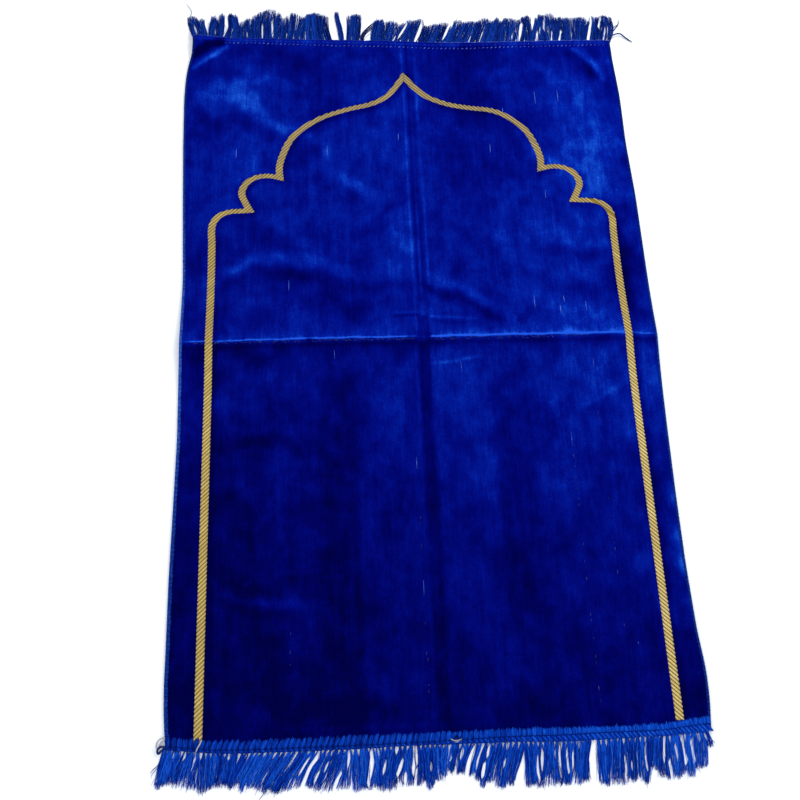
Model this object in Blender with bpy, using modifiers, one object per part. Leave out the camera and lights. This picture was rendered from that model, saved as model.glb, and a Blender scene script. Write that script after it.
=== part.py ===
"""Prayer rug lying face up: a velvet cloth, two serged side edges and a fringe comb along each end.

Metres. +X runs across the rug to the right, +Y along it to the tip of the arch, +Z up from the floor.
The origin is on the floor, in the middle of the rug with its fringes.
"""
from collections import namedtuple
from math import sin

import bmesh
import bpy

# Driving sizes
cloth_thickness = 0.0032
side_seam_width = 0.0050
piece_gap = 0.0003
tape_thickness = 0.0016
tape_width = 0.0180
cloth_inset_at_front = 0.0030
nominal_half_width = 0.3500

# The fringes' teeth, each a lock of strands
tooth_count = 84
tooth_gap = 0.0022
tooth_tip_share = 0.75
strand_drop_run = 0.0180
lean_wander = 0.02
tip_wander = 0.0025
back_tape_tuck = 0.0020

# The serged edges' rounded corners
seam_rounding = 0.0007
seam_rounding_from_angle = 0.9

# The packing fold across the middle stands up as a ridge with one short and one long flank
ridge_front_run = 0.095
ridge_back_run = 0.125

# The back end of the cloth steps up onto the tape that is sewn under it
step_start = 0.0360
step_end = 0.0200

# The back left corner curls up from a slanting valley
curl_slope = 0.115
curl_softness = 0.006
curl_line_start = (-0.348, 0.503)
curl_line_end = (-0.294, 0.554)

Side = namedtuple("Side", "y left right")
side_edges = (
    Side(-0.560, -0.3490, 0.3480),
    Side(-0.520, -0.3530, 0.3526),
    Side(-0.480, -0.3546, 0.3534),
    Side(-0.430, -0.3542, 0.3490),
    Side(-0.340, -0.3540, 0.3468),
    Side(-0.240, -0.3520, 0.3472),
    Side(-0.140, -0.3502, 0.3490),
    Side(-0.060, -0.3514, 0.3510),
    Side(0.010, -0.3520, 0.3522),
    Side(0.110, -0.3508, 0.3526),
    Side(0.250, -0.3556, 0.3526),
    Side(0.350, -0.3586, 0.3494),
    Side(0.440, -0.3604, 0.3506),
    Side(0.482, -0.3602, 0.3489),
    Side(0.522, -0.3553, 0.3470),
    Side(0.566, -0.3480, 0.3458),
)

End = namedtuple("End", "x front back")
ends = (
    End(-0.350, -0.5580, 0.5665),
    End(-0.270, -0.5588, 0.5628),
    End(-0.125, -0.5605, 0.5584),
    End(-0.007, -0.5612, 0.5552),
    End(0.060, -0.5604, 0.5512),
    End(0.160, -0.5598, 0.5528),
    End(0.268, -0.5582, 0.5554),
    End(0.350, -0.5552, 0.5554),
)

Ridge = namedtuple("Ridge", "x y height")
ridge_sections = (
    Ridge(-0.360, 0.0060, 0.0062),
    Ridge(-0.309, 0.0062, 0.0068),
    Ridge(-0.150, 0.0076, 0.0080),
    Ridge(-0.025, 0.0078, 0.0070),
    Ridge(0.004, 0.0076, 0.0052),
    Ridge(0.030, 0.0076, 0.0072),
    Ridge(0.150, 0.0072, 0.0088),
    Ridge(0.309, 0.0070, 0.0092),
    Ridge(0.360, 0.0030, 0.0074),
)

# The lengthwise fold is a shallow trough between two low lips
Lips = namedtuple("Lips", "y left_x left_height right_x right_height")
lip_half_width = 0.0068
lip_sections = (
    Lips(-0.535, -0.0055, 0.0000, 0.0060, 0.0000),
    Lips(-0.500, -0.0070, 0.0005, 0.0130, 0.0004),
    Lips(-0.320, -0.0080, 0.0007, 0.0150, 0.0005),
    Lips(-0.030, -0.0080, 0.0008, 0.0160, 0.0006),
    Lips(0.040, -0.0070, 0.0007, 0.0165, 0.0008),
    Lips(0.128, -0.0060, 0.0007, 0.0155, 0.0008),
    Lips(0.440, -0.0070, 0.0006, 0.0140, 0.0006),
    Lips(0.500, -0.0072, 0.0005, 0.0140, 0.0005),
    Lips(0.522, -0.0074, 0.0000, 0.0140, 0.0000),
)

# Grid lines of the cloth: close together at the folds, wide where it lies flat
cloth_columns = (
    -0.350, -0.336, -0.314, -0.275, -0.225, -0.175, -0.125, -0.075,
    -0.0210, -0.0140, -0.0072, -0.0004, 0.0060, 0.0128, 0.0196, 0.0264,
    0.075, 0.125, 0.175, 0.225, 0.275, 0.314, 0.336, 0.350,
)
cloth_rows = (
    -0.5570, -0.5300, -0.4900, -0.4400, -0.3800, -0.3100, -0.2400, -0.1800, -0.1300,
    -0.0830, -0.0600, -0.0400, -0.0220, -0.0080, 0.0030, 0.0125, 0.0220, 0.0350,
    0.0520, 0.0740, 0.1000, 0.1375, 0.1900, 0.2500, 0.3100, 0.3700, 0.4250,
    0.4700, 0.5000, 0.5240, 0.5400, 0.5600,
)
ridge_row = 15
front_shift_row = 3
back_shift_rows = (-5, -4)
crease_middle = 0.0028
crease_reach = (0.026, 0.070)
row_shift_reach = 0.050

# How the strands lie: sideways run for each metre of length, and how far the tips reach
Strands = namedtuple("Strands", "x front_lean front_tip back_lean back_tip")
strand_sections = (
    Strands(-0.350, -0.36, -0.5930, -0.10, 0.6080),
    Strands(-0.305, -0.50, -0.6040, 0.00, 0.6150),
    Strands(-0.212, -0.62, -0.6140, 0.05, 0.6185),
    Strands(-0.065, -0.40, -0.6150, 0.15, 0.6190),
    Strands(0.069, -0.15, -0.6165, 0.40, 0.6150),
    Strands(0.201, 0.05, -0.6180, 0.40, 0.6120),
    Strands(0.254, 0.12, -0.6150, 0.35, 0.6130),
    Strands(0.323, 0.25, -0.6080, 0.25, 0.6160),
    Strands(0.350, 0.16, -0.5900, 0.22, 0.6180),
)


def clear_scene():
    for item in list(bpy.data.objects):
        bpy.data.objects.remove(item, do_unlink=True)


def make_collection(name):
    collection = bpy.data.collections.new(name)
    bpy.context.scene.collection.children.link(collection)
    return collection


def make_material(name, colour, roughness):
    material = bpy.data.materials.new(name)
    material.use_nodes = True
    shader = material.node_tree.nodes["Principled BSDF"]
    shader.inputs["Base Color"].default_value = (*colour, 1.0)
    shader.inputs["Roughness"].default_value = roughness
    shader.inputs["Metallic"].default_value = 0.0
    return material


def read_table(table, place, column):
    """The named column's value at a place along the table's first column, in straight runs."""
    if place <= table[0][0]:
        return getattr(table[0], column)
    for lower, upper in zip(table, table[1:]):
        if place <= upper[0]:
            share = (place - lower[0]) / (upper[0] - lower[0])
            return getattr(lower, column) * (1 - share) + getattr(upper, column) * share
    return getattr(table[-1], column)


def smooth_step(low, high, value):
    share = min(max((value - low) / (high - low), 0.0), 1.0)
    return share * share * (3.0 - 2.0 * share)


def ridge_height(x, y):
    """The fold across the middle."""
    away = y - read_table(ridge_sections, x, "y")
    run = ridge_back_run if away > 0 else ridge_front_run
    share = min(abs(away) / run, 1.0)
    return read_table(ridge_sections, x, "height") * (1.0 - share) ** 2


def lip_height(x, y):
    """The two lips of the lengthwise fold, lower where they climb the ridge."""
    total = 0.0
    for side in ("left", "right"):
        away = abs(x - read_table(lip_sections, y, side + "_x")) / lip_half_width
        if away < 1.0:
            total += read_table(lip_sections, y, side + "_height") * (1.0 - away)
    return total


def curl_height(x, y):
    """The back left corner, which rises beyond a slanting line."""
    run_x = curl_line_end[0] - curl_line_start[0]
    run_y = curl_line_end[1] - curl_line_start[1]
    length = (run_x ** 2 + run_y ** 2) ** 0.5
    beyond = ((y - curl_line_start[1]) * run_x - (x - curl_line_start[0]) * run_y) / length
    if beyond <= 0.0:
        return 0.0
    return curl_slope * beyond * beyond / (beyond + curl_softness)


def fold_height(x, y):
    return ridge_height(x, y) + lip_height(x, y) + curl_height(x, y)


def cloth_height(x, y):
    """Underside of the cloth: on the floor, over the folds, and on the tape at the back end."""
    back = read_table(ends, x, "back")
    on_tape = smooth_step(back - step_start, back - step_end, y) * (tape_thickness + piece_gap)
    return fold_height(x, y) + on_tape


def cloth_place(column_x, row_y, inset):
    """Where a nominal grid point lies: the ends bow, the sides wander and lines follow the folds."""
    front = read_table(ends, column_x, "front") + cloth_inset_at_front
    back = read_table(ends, column_x, "back")
    ridge = read_table(ridge_sections, column_x, "y")
    towards_front = 1.0 - smooth_step(cloth_rows[0], cloth_rows[front_shift_row], row_y)
    towards_back = smooth_step(*(cloth_rows[row] for row in back_shift_rows), row_y)
    near_ridge = 1.0 - smooth_step(0.0, row_shift_reach, abs(row_y - cloth_rows[ridge_row]))
    y = row_y + towards_front * (front - cloth_rows[0]) + towards_back * (back - cloth_rows[-1])
    y += near_ridge * (ridge - cloth_rows[ridge_row])

    side = read_table(side_edges, y, "left" if column_x < 0 else "right")
    edge = abs(side) - inset
    x = column_x * edge / nominal_half_width
    lip_middle = (read_table(lip_sections, y, "left_x") + read_table(lip_sections, y, "right_x")) / 2
    near_crease = 1.0 - smooth_step(*crease_reach, abs(column_x))
    return x + near_crease * (lip_middle - crease_middle), y


def make_sheet(name, columns, rows, place, keep, thickness, material, collection):
    """A grid bent to place(column, row), without the cells that keep() drops, given its thickness upwards."""
    mesh = bpy.data.meshes.new(name)
    grid = bmesh.new()
    bmesh.ops.create_grid(grid, x_segments=columns - 1, y_segments=rows - 1, size=0.5)
    dropped = []
    for face in grid.faces:
        middle = face.calc_center_median()
        column = int((middle.x + 0.5) * (columns - 1))
        row = int((middle.y + 0.5) * (rows - 1))
        if not keep(column, row):
            dropped.append(face)
    for point in grid.verts:
        column = round((point.co.x + 0.5) * (columns - 1))
        row = round((point.co.y + 0.5) * (rows - 1))
        point.co = place(column, row)
    bmesh.ops.delete(grid, geom=dropped, context="FACES")
    grid.to_mesh(mesh)
    grid.free()
    mesh.materials.append(material)
    sheet = bpy.data.objects.new(name, mesh)
    collection.objects.link(sheet)
    wall = sheet.modifiers.new("thickness", "SOLIDIFY")
    wall.thickness = thickness
    wall.offset = 1.0
    return sheet


def keep_all(column, row):
    return True


def make_cloth(material, collection):
    inset = side_seam_width + piece_gap

    def place(column, row):
        x, y = cloth_place(cloth_columns[column], cloth_rows[row], inset)
        return x, y, cloth_height(x, y)

    return make_sheet("pile_cloth", len(cloth_columns), len(cloth_rows), place, keep_all,
                      cloth_thickness, material, collection)


def make_serged_edge(name, sign, material, collection):
    """The stitched edge beside the cloth, as thick as the cloth, with rounded outer corners."""
    def place(column, row):
        x, y = cloth_place(sign * nominal_half_width, cloth_rows[row], 0.0)
        if (column == 0) == (sign > 0):
            x -= sign * side_seam_width
        return x, y, cloth_height(x, y)

    edge = make_sheet(name, 2, len(cloth_rows), place, keep_all, cloth_thickness, material, collection)
    rounding = edge.modifiers.new("rounding", "BEVEL")
    rounding.width = seam_rounding
    rounding.segments = 1
    rounding.limit_method = "ANGLE"
    rounding.angle_limit = seam_rounding_from_angle
    return edge


def make_fringe(name, end, material, collection):
    """A comb: the heading tape and its teeth, leaning and uneven as the strands lie."""
    sign = 1.0 if end == "back" else -1.0
    pitch = 2.0 * nominal_half_width / tooth_count
    on_cloth = 0.0 if end == "back" else cloth_thickness + piece_gap

    def column_x(column):
        tooth, right_side = divmod(column, 2)
        x = -nominal_half_width + (tooth + right_side) * pitch
        if 0 < column < 2 * tooth_count - 1:
            x += tooth_gap / 2 * (-1 if right_side else 1)
        return x

    def place(column, row):
        if sign < 0:
            row = 3 - row
        nominal_x = column_x(column)
        edge_y = read_table(ends, nominal_x, end)
        side = abs(read_table(side_edges, edge_y, "left" if nominal_x < 0 else "right"))
        root_x = nominal_x * side / nominal_half_width
        if row == 0:
            tucked = back_tape_tuck if end == "back" else 0.0
            y = edge_y - sign * (tape_width - tucked)
            return root_x, y, fold_height(root_x, y) + on_cloth
        root_height = fold_height(root_x, edge_y) + on_cloth
        if row == 1:
            return root_x, edge_y, root_height
        tooth = column // 2
        lean = read_table(strand_sections, root_x, end + "_lean") + lean_wander * sin(tooth * 0.9)
        tip = read_table(strand_sections, root_x, end + "_tip")
        tip -= sign * tip_wander * (1.0 + sin(tooth * 2.3))
        length = abs(tip - edge_y)
        middle_x = -nominal_half_width + (tooth + 0.5) * pitch
        half = (nominal_x - middle_x) * side / nominal_half_width
        if row == 2:
            return root_x + lean * strand_drop_run, edge_y + sign * strand_drop_run, 0.0
        tip_x = middle_x * side / nominal_half_width + half * tooth_tip_share + lean * length
        return tip_x, tip, 0.0

    def keep(column, row):
        tape_row = 0 if sign > 0 else 2
        return column % 2 == 0 or row == tape_row

    return make_sheet(name, 2 * tooth_count, 4, place, keep, tape_thickness, material, collection)


def main():
    clear_scene()
    collection = make_collection("prayer_rug")
    velvet = make_material("blue velvet", (0.004, 0.016, 0.300), 0.85)
    serging = make_material("blue serging thread", (0.020, 0.070, 0.420), 0.70)
    front_yarn = make_material("front fringe yarn", (0.004, 0.050, 0.480), 0.55)
    back_yarn = make_material("back fringe yarn", (0.004, 0.040, 0.360), 0.60)
    make_cloth(velvet, collection)
    make_serged_edge("serged_edge_left", -1, serging, collection)
    make_serged_edge("serged_edge_right", 1, serging, collection)
    make_fringe("fringe_front", "front", front_yarn, collection)
    make_fringe("fringe_back", "back", back_yarn, collection)


main()
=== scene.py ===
import math

import bpy
import numpy as np
from mathutils.kdtree import KDTree
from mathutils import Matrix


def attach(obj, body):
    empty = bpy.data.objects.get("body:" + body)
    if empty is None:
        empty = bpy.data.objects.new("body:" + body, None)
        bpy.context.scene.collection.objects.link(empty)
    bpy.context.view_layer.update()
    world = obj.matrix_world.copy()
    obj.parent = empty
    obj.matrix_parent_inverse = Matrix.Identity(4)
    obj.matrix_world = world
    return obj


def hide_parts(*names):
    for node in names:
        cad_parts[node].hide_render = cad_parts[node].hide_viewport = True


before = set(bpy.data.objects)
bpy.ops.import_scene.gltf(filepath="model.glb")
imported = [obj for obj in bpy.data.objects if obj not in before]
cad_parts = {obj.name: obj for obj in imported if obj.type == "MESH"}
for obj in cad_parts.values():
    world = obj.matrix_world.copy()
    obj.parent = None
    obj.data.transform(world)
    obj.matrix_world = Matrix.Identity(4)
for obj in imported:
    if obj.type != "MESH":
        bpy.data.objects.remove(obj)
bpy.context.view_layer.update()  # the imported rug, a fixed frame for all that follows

noise = np.random.default_rng(11)

# All sizes in metres. X runs across the rug, Y towards the tip of the arch, Z up.

studio = {
    "cameraPlace": (-0.1170, -0.6557, 1.4002),
    "cameraTurn": (22.175, -2.4006, -2.4205),  # degrees
    "lens": 47.298,
    "sensorWidth": 36.0,
    "floorSize": 6.0,
    "floorColour": (0.90, 0.94, 0.99),
    "floorRoughness": 0.9,
    "skyColour": (1.0, 1.0, 1.0),
    "skyStrength": 0.84,
    "lightAim": (0.0, 0.05, 0.0),
    "keyPlace": (1.30, 1.75, 1.50),
    "keySize": 1.1,
    "keyPower": 40.0,
    "fillPlace": (-1.4, -1.4, 2.2),
    "fillSize": 2.5,
    "fillPower": 16.0,
}

rug = {
    "thickness": 0.0032,
    "halfWidth": 0.350,
    "frontInset": 0.0030,
    "tapeRise": 0.0019,  # the back end lies on the fringe's tape
    "tapeRiseFrom": 0.036,
    "tapeRiseTo": 0.020,
    "sideBlur": 0.014,
    "endBlur": 0.030,
    "sides": {
        "y": [-.560, -.520, -.480, -.430, -.340, -.240, -.140, -.060,
              .010, .110, .250, .350, .440, .482, .508, .534, .566],
        "left": [-.3490, -.3530, -.3546, -.3542, -.3540, -.3520, -.3502, -.3514,
                 -.3520, -.3508, -.3556, -.3586, -.3602, -.3590, -.3560, -.3494, -.3496],
        "right": [.3480, .3526, .3534, .3490, .3468, .3472, .3490, .3510,
                  .3522, .3526, .3526, .3494, .3506, .3489, .3476, .3467, .3458],
    },
    "ends": {
        "x": [-.350, -.270, -.125, -.007, .060, .160, .268, .350],
        "front": [-.5580, -.5588, -.5605, -.5612, -.5604, -.5598, -.5582, -.5552],
        "back": [.5665, .5628, .5584, .5552, .5512, .5528, .5554, .5554],
    },
}

folds = {
    "frontRun": 0.095,
    "backRun": 0.125,
    "crestRound": 0.0016,
    "ridgeBlur": 0.012,
    "ridge": {
        "x": [-.360, -.309, -.150, -.025, .004, .030, .150, .309, .360],
        "y": [.0060, .0062, .0076, .0078, .0076, .0076, .0072, .0070, .0030],
        "height": [.0062, .0068, .0080, .0070, .0052, .0072, .0088, .0092, .0074],
    },
    "lipReach": 0.0068,
    "lipBlur": 0.010,
    "lips": {
        "y": [-.535, -.500, -.320, -.030, .040, .128, .440, .500, .522],
        "leftX": [-.0055, -.0070, -.0080, -.0080, -.0070, -.0060, -.0070, -.0072, -.0074],
        "leftHeight": [0, .0005, .0007, .0008, .0007, .0007, .0006, .0005, 0],
        "rightX": [.0060, .0130, .0150, .0160, .0165, .0155, .0140, .0140, .0140],
        "rightHeight": [0, .0004, .0005, .0006, .0008, .0008, .0006, .0005, 0],
    },
    "curlSlope": 0.135,
    "curlSoftness": 0.006,
    "curlFrom": (-.348, .503),
    "curlTo": (-.294, .554),
    # shallow waves left by packing: crest height, reach to each side, then the places it runs through
    "waves": [
        (.0020, .013, (.283, .543), (.300, .521), (.314, .498), (.328, .478)),
        (.0026, .030, (-.300, .100), (-.262, .124), (-.222, .136), (-.170, .130), (-.110, .108),
         (-.040, .092)),
        (.0014, .026, (-.172, .312), (-.125, .286), (-.085, .262), (-.045, .243)),
        (.0012, .022, (.018, .102), (.070, .074), (.135, .032)),
        (.0008, .020, (.190, .156), (.255, .154), (.318, .150)),
        (.0010, .022, (-.310, -.136), (-.230, -.140), (-.150, -.144)),
        (.0014, .018, (-.297, -.346), (-.278, -.366), (-.240, -.380), (-.165, -.386)),
        (.0008, .015, (-.215, -.334), (-.165, -.336), (-.118, -.338)),
    ],
}


def smoothStep(low, high, value):
    share = np.clip((value - low) / (high - low), 0.0, 1.0)
    return share * share * (3.0 - 2.0 * share)


def fromTable(table, key, column, place, blur=0.0):
    spots = (-1.0, -0.5, 0.0, 0.5, 1.0) if blur else (0.0,)
    return sum(np.interp(place + blur * s, table[key], table[column]) for s in spots) / len(spots)


def sideX(y, sign):
    return fromTable(rug["sides"], "y", "left" if sign < 0 else "right", y, rug["sideBlur"])


def endY(x, end):
    return fromTable(rug["ends"], "x", end, x, rug["endBlur"])


def beyondLine(x, y, start, end):
    runX, runY = end[0] - start[0], end[1] - start[1]
    return ((y - start[1]) * runX - (x - start[0]) * runY) / math.hypot(runX, runY)


def awayFrom(course, x, y):
    # distance from a line of places, and the share of its length reached there
    course = np.array(course, dtype=float)
    runs = np.diff(course, axis=0)
    lengths = np.hypot(runs[:, 0], runs[:, 1])
    total, passed = lengths.sum(), 0.0
    away, along = np.full(np.shape(x), 9.0), np.zeros(np.shape(x))
    for start, run, length in zip(course, runs, lengths):
        share = np.clip(((x - start[0]) * run[0] + (y - start[1]) * run[1]) / length ** 2, 0.0, 1.0)
        gap = np.hypot(x - start[0] - share * run[0], y - start[1] - share * run[1])
        along = np.where(gap < away, (passed + share * length) / total, along)
        away = np.minimum(gap, away)
        passed += length
    return away, along


def ridgeAt(column, x):
    return fromTable(folds["ridge"], "x", column, x, folds["ridgeBlur"])


def ridgeHeight(x, y):
    away = y - ridgeAt("y", x)
    run = np.where(away > 0, folds["backRun"], folds["frontRun"])
    soft = folds["crestRound"]
    share = np.minimum((np.sqrt(away ** 2 + soft ** 2) - soft) / run, 1.0)
    return ridgeAt("height", x) * (1.0 - share) ** 2


def lipHeight(x, y):
    height, lips, blur = np.zeros(np.shape(x)), folds["lips"], folds["lipBlur"]
    for side in ("left", "right"):
        share = np.abs(x - fromTable(lips, "y", side + "X", y, blur)) / folds["lipReach"]
        height += fromTable(lips, "y", side + "Height", y, blur) * smoothStep(0.0, 1.0, 1.0 - share)
    return height


def creaseHeight(x, y):
    beyond = np.maximum(beyondLine(x, y, folds["curlFrom"], folds["curlTo"]), 0.0)
    height = folds["curlSlope"] * beyond ** 2 / (beyond + folds["curlSoftness"])
    for crest, reach, *course in folds["waves"]:
        away, along = awayFrom(course, x, y)
        rise = 0.5 + 0.5 * np.cos(np.pi * np.clip(away / reach, 0.0, 1.0))
        height += crest * rise * np.sin(np.pi * np.clip(along, 0.04, 0.96))
    return height


def foldHeight(x, y):
    return ridgeHeight(x, y) + lipHeight(x, y) + creaseHeight(x, y)


def clothHeight(x, y):
    back = endY(x, "back")
    onTape = smoothStep(back - rug["tapeRiseFrom"], back - rug["tapeRiseTo"], y) * rug["tapeRise"]
    return foldHeight(x, y) + onTape


def gridLines(start, end, wide, fineSpots):
    # places between start and end, close together round each (place, reach, spacing)
    line = np.linspace(start, end, 6001)  # fine enough to count the lines on
    spacing = np.full(line.shape, wide)
    for place, reach, fine in fineSpots:
        away = smoothStep(reach, reach * 2.6, np.abs(line - place))
        spacing = np.minimum(spacing, fine + (wide - fine) * away)
    count = np.concatenate([[0.0], np.cumsum(np.diff(line) / spacing[1:])])
    return np.interp(np.linspace(0, count[-1], int(count[-1]) + 2), count, line)


def readPoints(piece):
    flat = np.empty(len(piece.data.vertices) * 3, dtype=np.float32)
    piece.data.vertices.foreach_get("co", flat)
    return flat.reshape(-1, 3).astype(float)


def writePoints(piece, places):
    piece.data.vertices.foreach_set("co", np.asarray(places, dtype=np.float32).ravel())
    piece.data.update()


def pickOnly(piece):
    bpy.ops.object.select_all(action="DESELECT")
    piece.select_set(True)
    bpy.context.view_layer.objects.active = piece


def addGrid(name, columns, rows):
    bpy.ops.object.select_all(action="DESELECT")
    bpy.ops.mesh.primitive_grid_add(x_subdivisions=columns - 1, y_subdivisions=rows - 1, size=1)
    piece = bpy.context.object
    piece.name = piece.data.name = name
    places = readPoints(piece)
    column = np.rint((places[:, 0] + 0.5) * (columns - 1)).astype(int)
    row = np.rint((places[:, 1] + 0.5) * (rows - 1)).astype(int)
    return piece, column, row


def applyAll(piece):
    pickOnly(piece)
    for modifier in list(piece.modifiers):
        bpy.ops.object.modifier_apply(modifier=modifier.name)


def weld(piece):
    pickOnly(piece)
    bpy.ops.object.mode_set(mode="EDIT")
    bpy.ops.mesh.select_all(action="SELECT")
    bpy.ops.mesh.remove_doubles(threshold=0.000002)
    bpy.ops.object.mode_set(mode="OBJECT")


def cutWith(piece, cutter, operation):
    cut = piece.modifiers.new("cut", "BOOLEAN")
    cut.operation = operation
    cut.solver = "EXACT"
    cut.object = cutter
    applyAll(piece)
    bpy.data.objects.remove(cutter, do_unlink=True)


def tubes(name, lines, radius, resolution=0, radii=None, tones=None):
    # one mesh of round yarns that follow the lines, each with its own tone
    curve = bpy.data.curves.new(name, "CURVE")
    curve.dimensions = "3D"
    curve.bevel_depth = radius
    curve.bevel_resolution = resolution
    curve.use_fill_caps = True
    for number, line in enumerate(lines):
        spline = curve.splines.new("POLY")
        spline.points.add(len(line) - 1)
        flat = np.ones((len(line), 4))
        flat[:, :3] = line
        spline.points.foreach_set("co", flat.ravel())
        if radii is not None:
            spline.points.foreach_set("radius", np.asarray(radii[number], dtype=float))
    piece = bpy.data.objects.new(name, curve)
    bpy.context.collection.objects.link(piece)
    pickOnly(piece)
    bpy.ops.object.convert(target="MESH")
    piece = bpy.context.object
    piece.name = piece.data.name = name
    if tones is None:
        tones = noise.normal(0.5, 0.16, len(lines))
    around = len(piece.data.vertices) // sum(len(line) + 2 for line in lines)
    ends = [np.full(2 * around, tone) for tone in tones][::-1]  # the end caps come first, last yarn first
    runs = [np.full(len(line) * around, tone) for line, tone in zip(lines, tones)]
    layer = piece.data.attributes.new("strand", "FLOAT", "POINT")
    layer.data.foreach_set("value", np.concatenate(ends + runs).astype(np.float32))
    weld(piece)
    return piece


def lift(piece, surface):
    places = readPoints(piece)
    places[:, 2] += surface(places[:, 0], places[:, 1])
    writePoints(piece, places)


def finish(piece, material, angle=None):
    piece.data.materials.clear()
    piece.data.materials.append(material)
    pickOnly(piece)
    if angle is None:
        bpy.ops.object.shade_smooth()
    else:
        bpy.ops.object.shade_smooth_by_angle(angle=math.radians(angle))
    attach(piece, "root")


# materials

def newMaterial(name):
    material = bpy.data.materials.new(name)
    material.use_nodes = True
    return material, material.node_tree.nodes, material.node_tree.links


def addNode(nodes, kind, **inputs):
    node = nodes.new(kind)
    for key, value in inputs.items():
        node.inputs[key].default_value = value
    return node


def addNoise(nodes, links, place, stretch, detail, tone, strength):
    # adds a noise, stretched as given, to a tone
    spread = addNode(nodes, "ShaderNodeMapping", Scale=stretch)
    links.new(place, spread.inputs["Vector"])
    grain = addNode(nodes, "ShaderNodeTexNoise", Scale=1.0, Detail=detail, Roughness=0.6)
    links.new(spread.outputs["Vector"], grain.inputs["Vector"])
    part = nodes.new("ShaderNodeMapRange")
    limits = {"From Min": 0.3, "From Max": 0.7, "To Min": -strength, "To Max": strength}
    for socket, value in limits.items():
        part.inputs[socket].default_value = value
    links.new(grain.outputs["Fac"], part.inputs["Value"])
    total = nodes.new("ShaderNodeMath")
    total.operation = "ADD"
    links.new(tone, total.inputs[0])
    links.new(part.outputs["Result"], total.inputs[1])
    return grain, total.outputs["Value"]


def addRamp(nodes, links, tone, colours):
    ramp = nodes.new("ShaderNodeValToRGB")
    stops = ramp.color_ramp.elements
    for number, (position, colour) in enumerate(colours):
        stop = stops[0] if number == 0 else stops[-1] if number == len(colours) - 1 else stops.new(position)
        stop.position, stop.color = position, (*colour, 1.0)
    links.new(tone, ramp.inputs["Fac"])
    return ramp


def addBump(nodes, links, grain, shader, look):
    bump = addNode(nodes, "ShaderNodeBump", Strength=look["bump"], Distance=look["bumpDepth"])
    links.new(grain.outputs["Fac"], bump.inputs["Height"])
    links.new(bump.outputs["Normal"], shader.inputs["Normal"])


velvetLook = {
    "tones": [
        (0.00, (0.0002, 0.0003, 0.045)), (0.25, (0.0003, 0.0009, 0.100)),
        (0.50, (0.0005, 0.0031, 0.174)), (0.70, (0.0007, 0.0096, 0.260)),
        (0.80, (0.0016, 0.0206, 0.333)), (0.87, (0.0028, 0.0355, 0.382)),
        (0.94, (0.0050, 0.0510, 0.450)), (1.00, (0.0110, 0.0740, 0.610)),
    ],
    "roughness": 0.92,
    "sheen": 0.06,
    "sheenRoughness": 0.45,
    "sheenTint": (0.02, 0.10, 1.0),
    "bump": 0.35,
    "bumpDepth": 0.0006,
    # each pattern: how many to the metre across, along and through, how strong, how detailed
    "patterns": [((480, 48, 480), .066, 4), ((120, 10, 120), .062, 3), ((13, 11, 13), .125, 4),
                 ((40, 30, 40), .132, 5), ((420, 340, 420), .065, 2)],
}


def makeVelvet():
    material, nodes, links = newMaterial("blue velvet pile")
    shader = nodes["Principled BSDF"]
    shader.inputs["Roughness"].default_value = velvetLook["roughness"]
    shader.inputs["Sheen Weight"].default_value = velvetLook["sheen"]
    shader.inputs["Sheen Roughness"].default_value = velvetLook["sheenRoughness"]
    shader.inputs["Sheen Tint"].default_value = (*velvetLook["sheenTint"], 1.0)
    shader.inputs["Specular IOR Level"].default_value = 0.0

    place = nodes.new("ShaderNodeTexCoord")
    # this attribute holds the pile's painted light, shade and sheen
    napSheen = nodes.new("ShaderNodeAttribute")
    napSheen.attribute_name = "napSheen"
    tone, grain = napSheen.outputs["Fac"], None
    for stretch, strength, detail in velvetLook["patterns"]:
        grain, tone = addNoise(nodes, links, place.outputs["Object"], stretch, detail, tone, strength)
    ramp = addRamp(nodes, links, tone, velvetLook["tones"])
    links.new(ramp.outputs["Color"], shader.inputs["Base Color"])
    addBump(nodes, links, grain, shader, velvetLook)
    return material


yarnLook = {
    "roughness": 0.75,
    "stretch": (650, 130, 650),
    "noise": 0.22,
    "detail": 3,
    "specular": 0.03,
    "stops": (0.05, 0.50, 0.95),
    "bump": 0.4,
    "bumpDepth": 0.0004,
}


def makeYarn(name, *colours, **changes):
    # from a deep, a middle and a light colour, in the usual look but for the changes
    look = {**yarnLook, **changes}
    material, nodes, links = newMaterial(name)
    shader = nodes["Principled BSDF"]
    shader.inputs["Roughness"].default_value = look["roughness"]
    shader.inputs["Specular IOR Level"].default_value = look["specular"]
    place = nodes.new("ShaderNodeTexCoord")
    strand = nodes.new("ShaderNodeAttribute")
    strand.attribute_name = "strand"
    grain, tone = addNoise(nodes, links, place.outputs["Object"], look["stretch"], look["detail"],
                           strand.outputs["Fac"], look["noise"])
    ramp = addRamp(nodes, links, tone, list(zip(look["stops"], colours)))
    links.new(ramp.outputs["Color"], shader.inputs["Base Color"])
    addBump(nodes, links, grain, shader, yarnLook)
    return material


velvet = makeVelvet()
backing = makeYarn("woven blue backing", (.002, .008, .120), (.006, .022, .260), (.012, .040, .360),
                   stretch=(900, 420, 900))
goldBed = makeYarn("dark gold ground", (.230, .150, .022), (.360, .250, .048), (.480, .350, .100))
goldYarn = makeYarn("gold yarn", (.238, .190, .128), (.480, .358, .100), (.760, .650, .330),
                    roughness=0.6, stretch=(900, 700, 900), specular=0.15)
sergingYarn = makeYarn("side serging yarn", (.002, .012, .130), (.005, .040, .310), (.050, .160, .600))
headingYarn = makeYarn("heading yarn", (.000, .006, .120), (.001, .038, .410), (.006, .105, .660))
fringeYarn = makeYarn("front fringe yarn", (.000, .008, .140), (.000, .028, .370), (.010, .120, .700))
backYarn = makeYarn("back fringe yarn", (.000, .002, .050), (.000, .010, .155), (.004, .055, .420))
shadeYarn = makeYarn("sunk thread", (.000, .004, .060), (.000, .012, .170), (.002, .030, .300))
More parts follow.
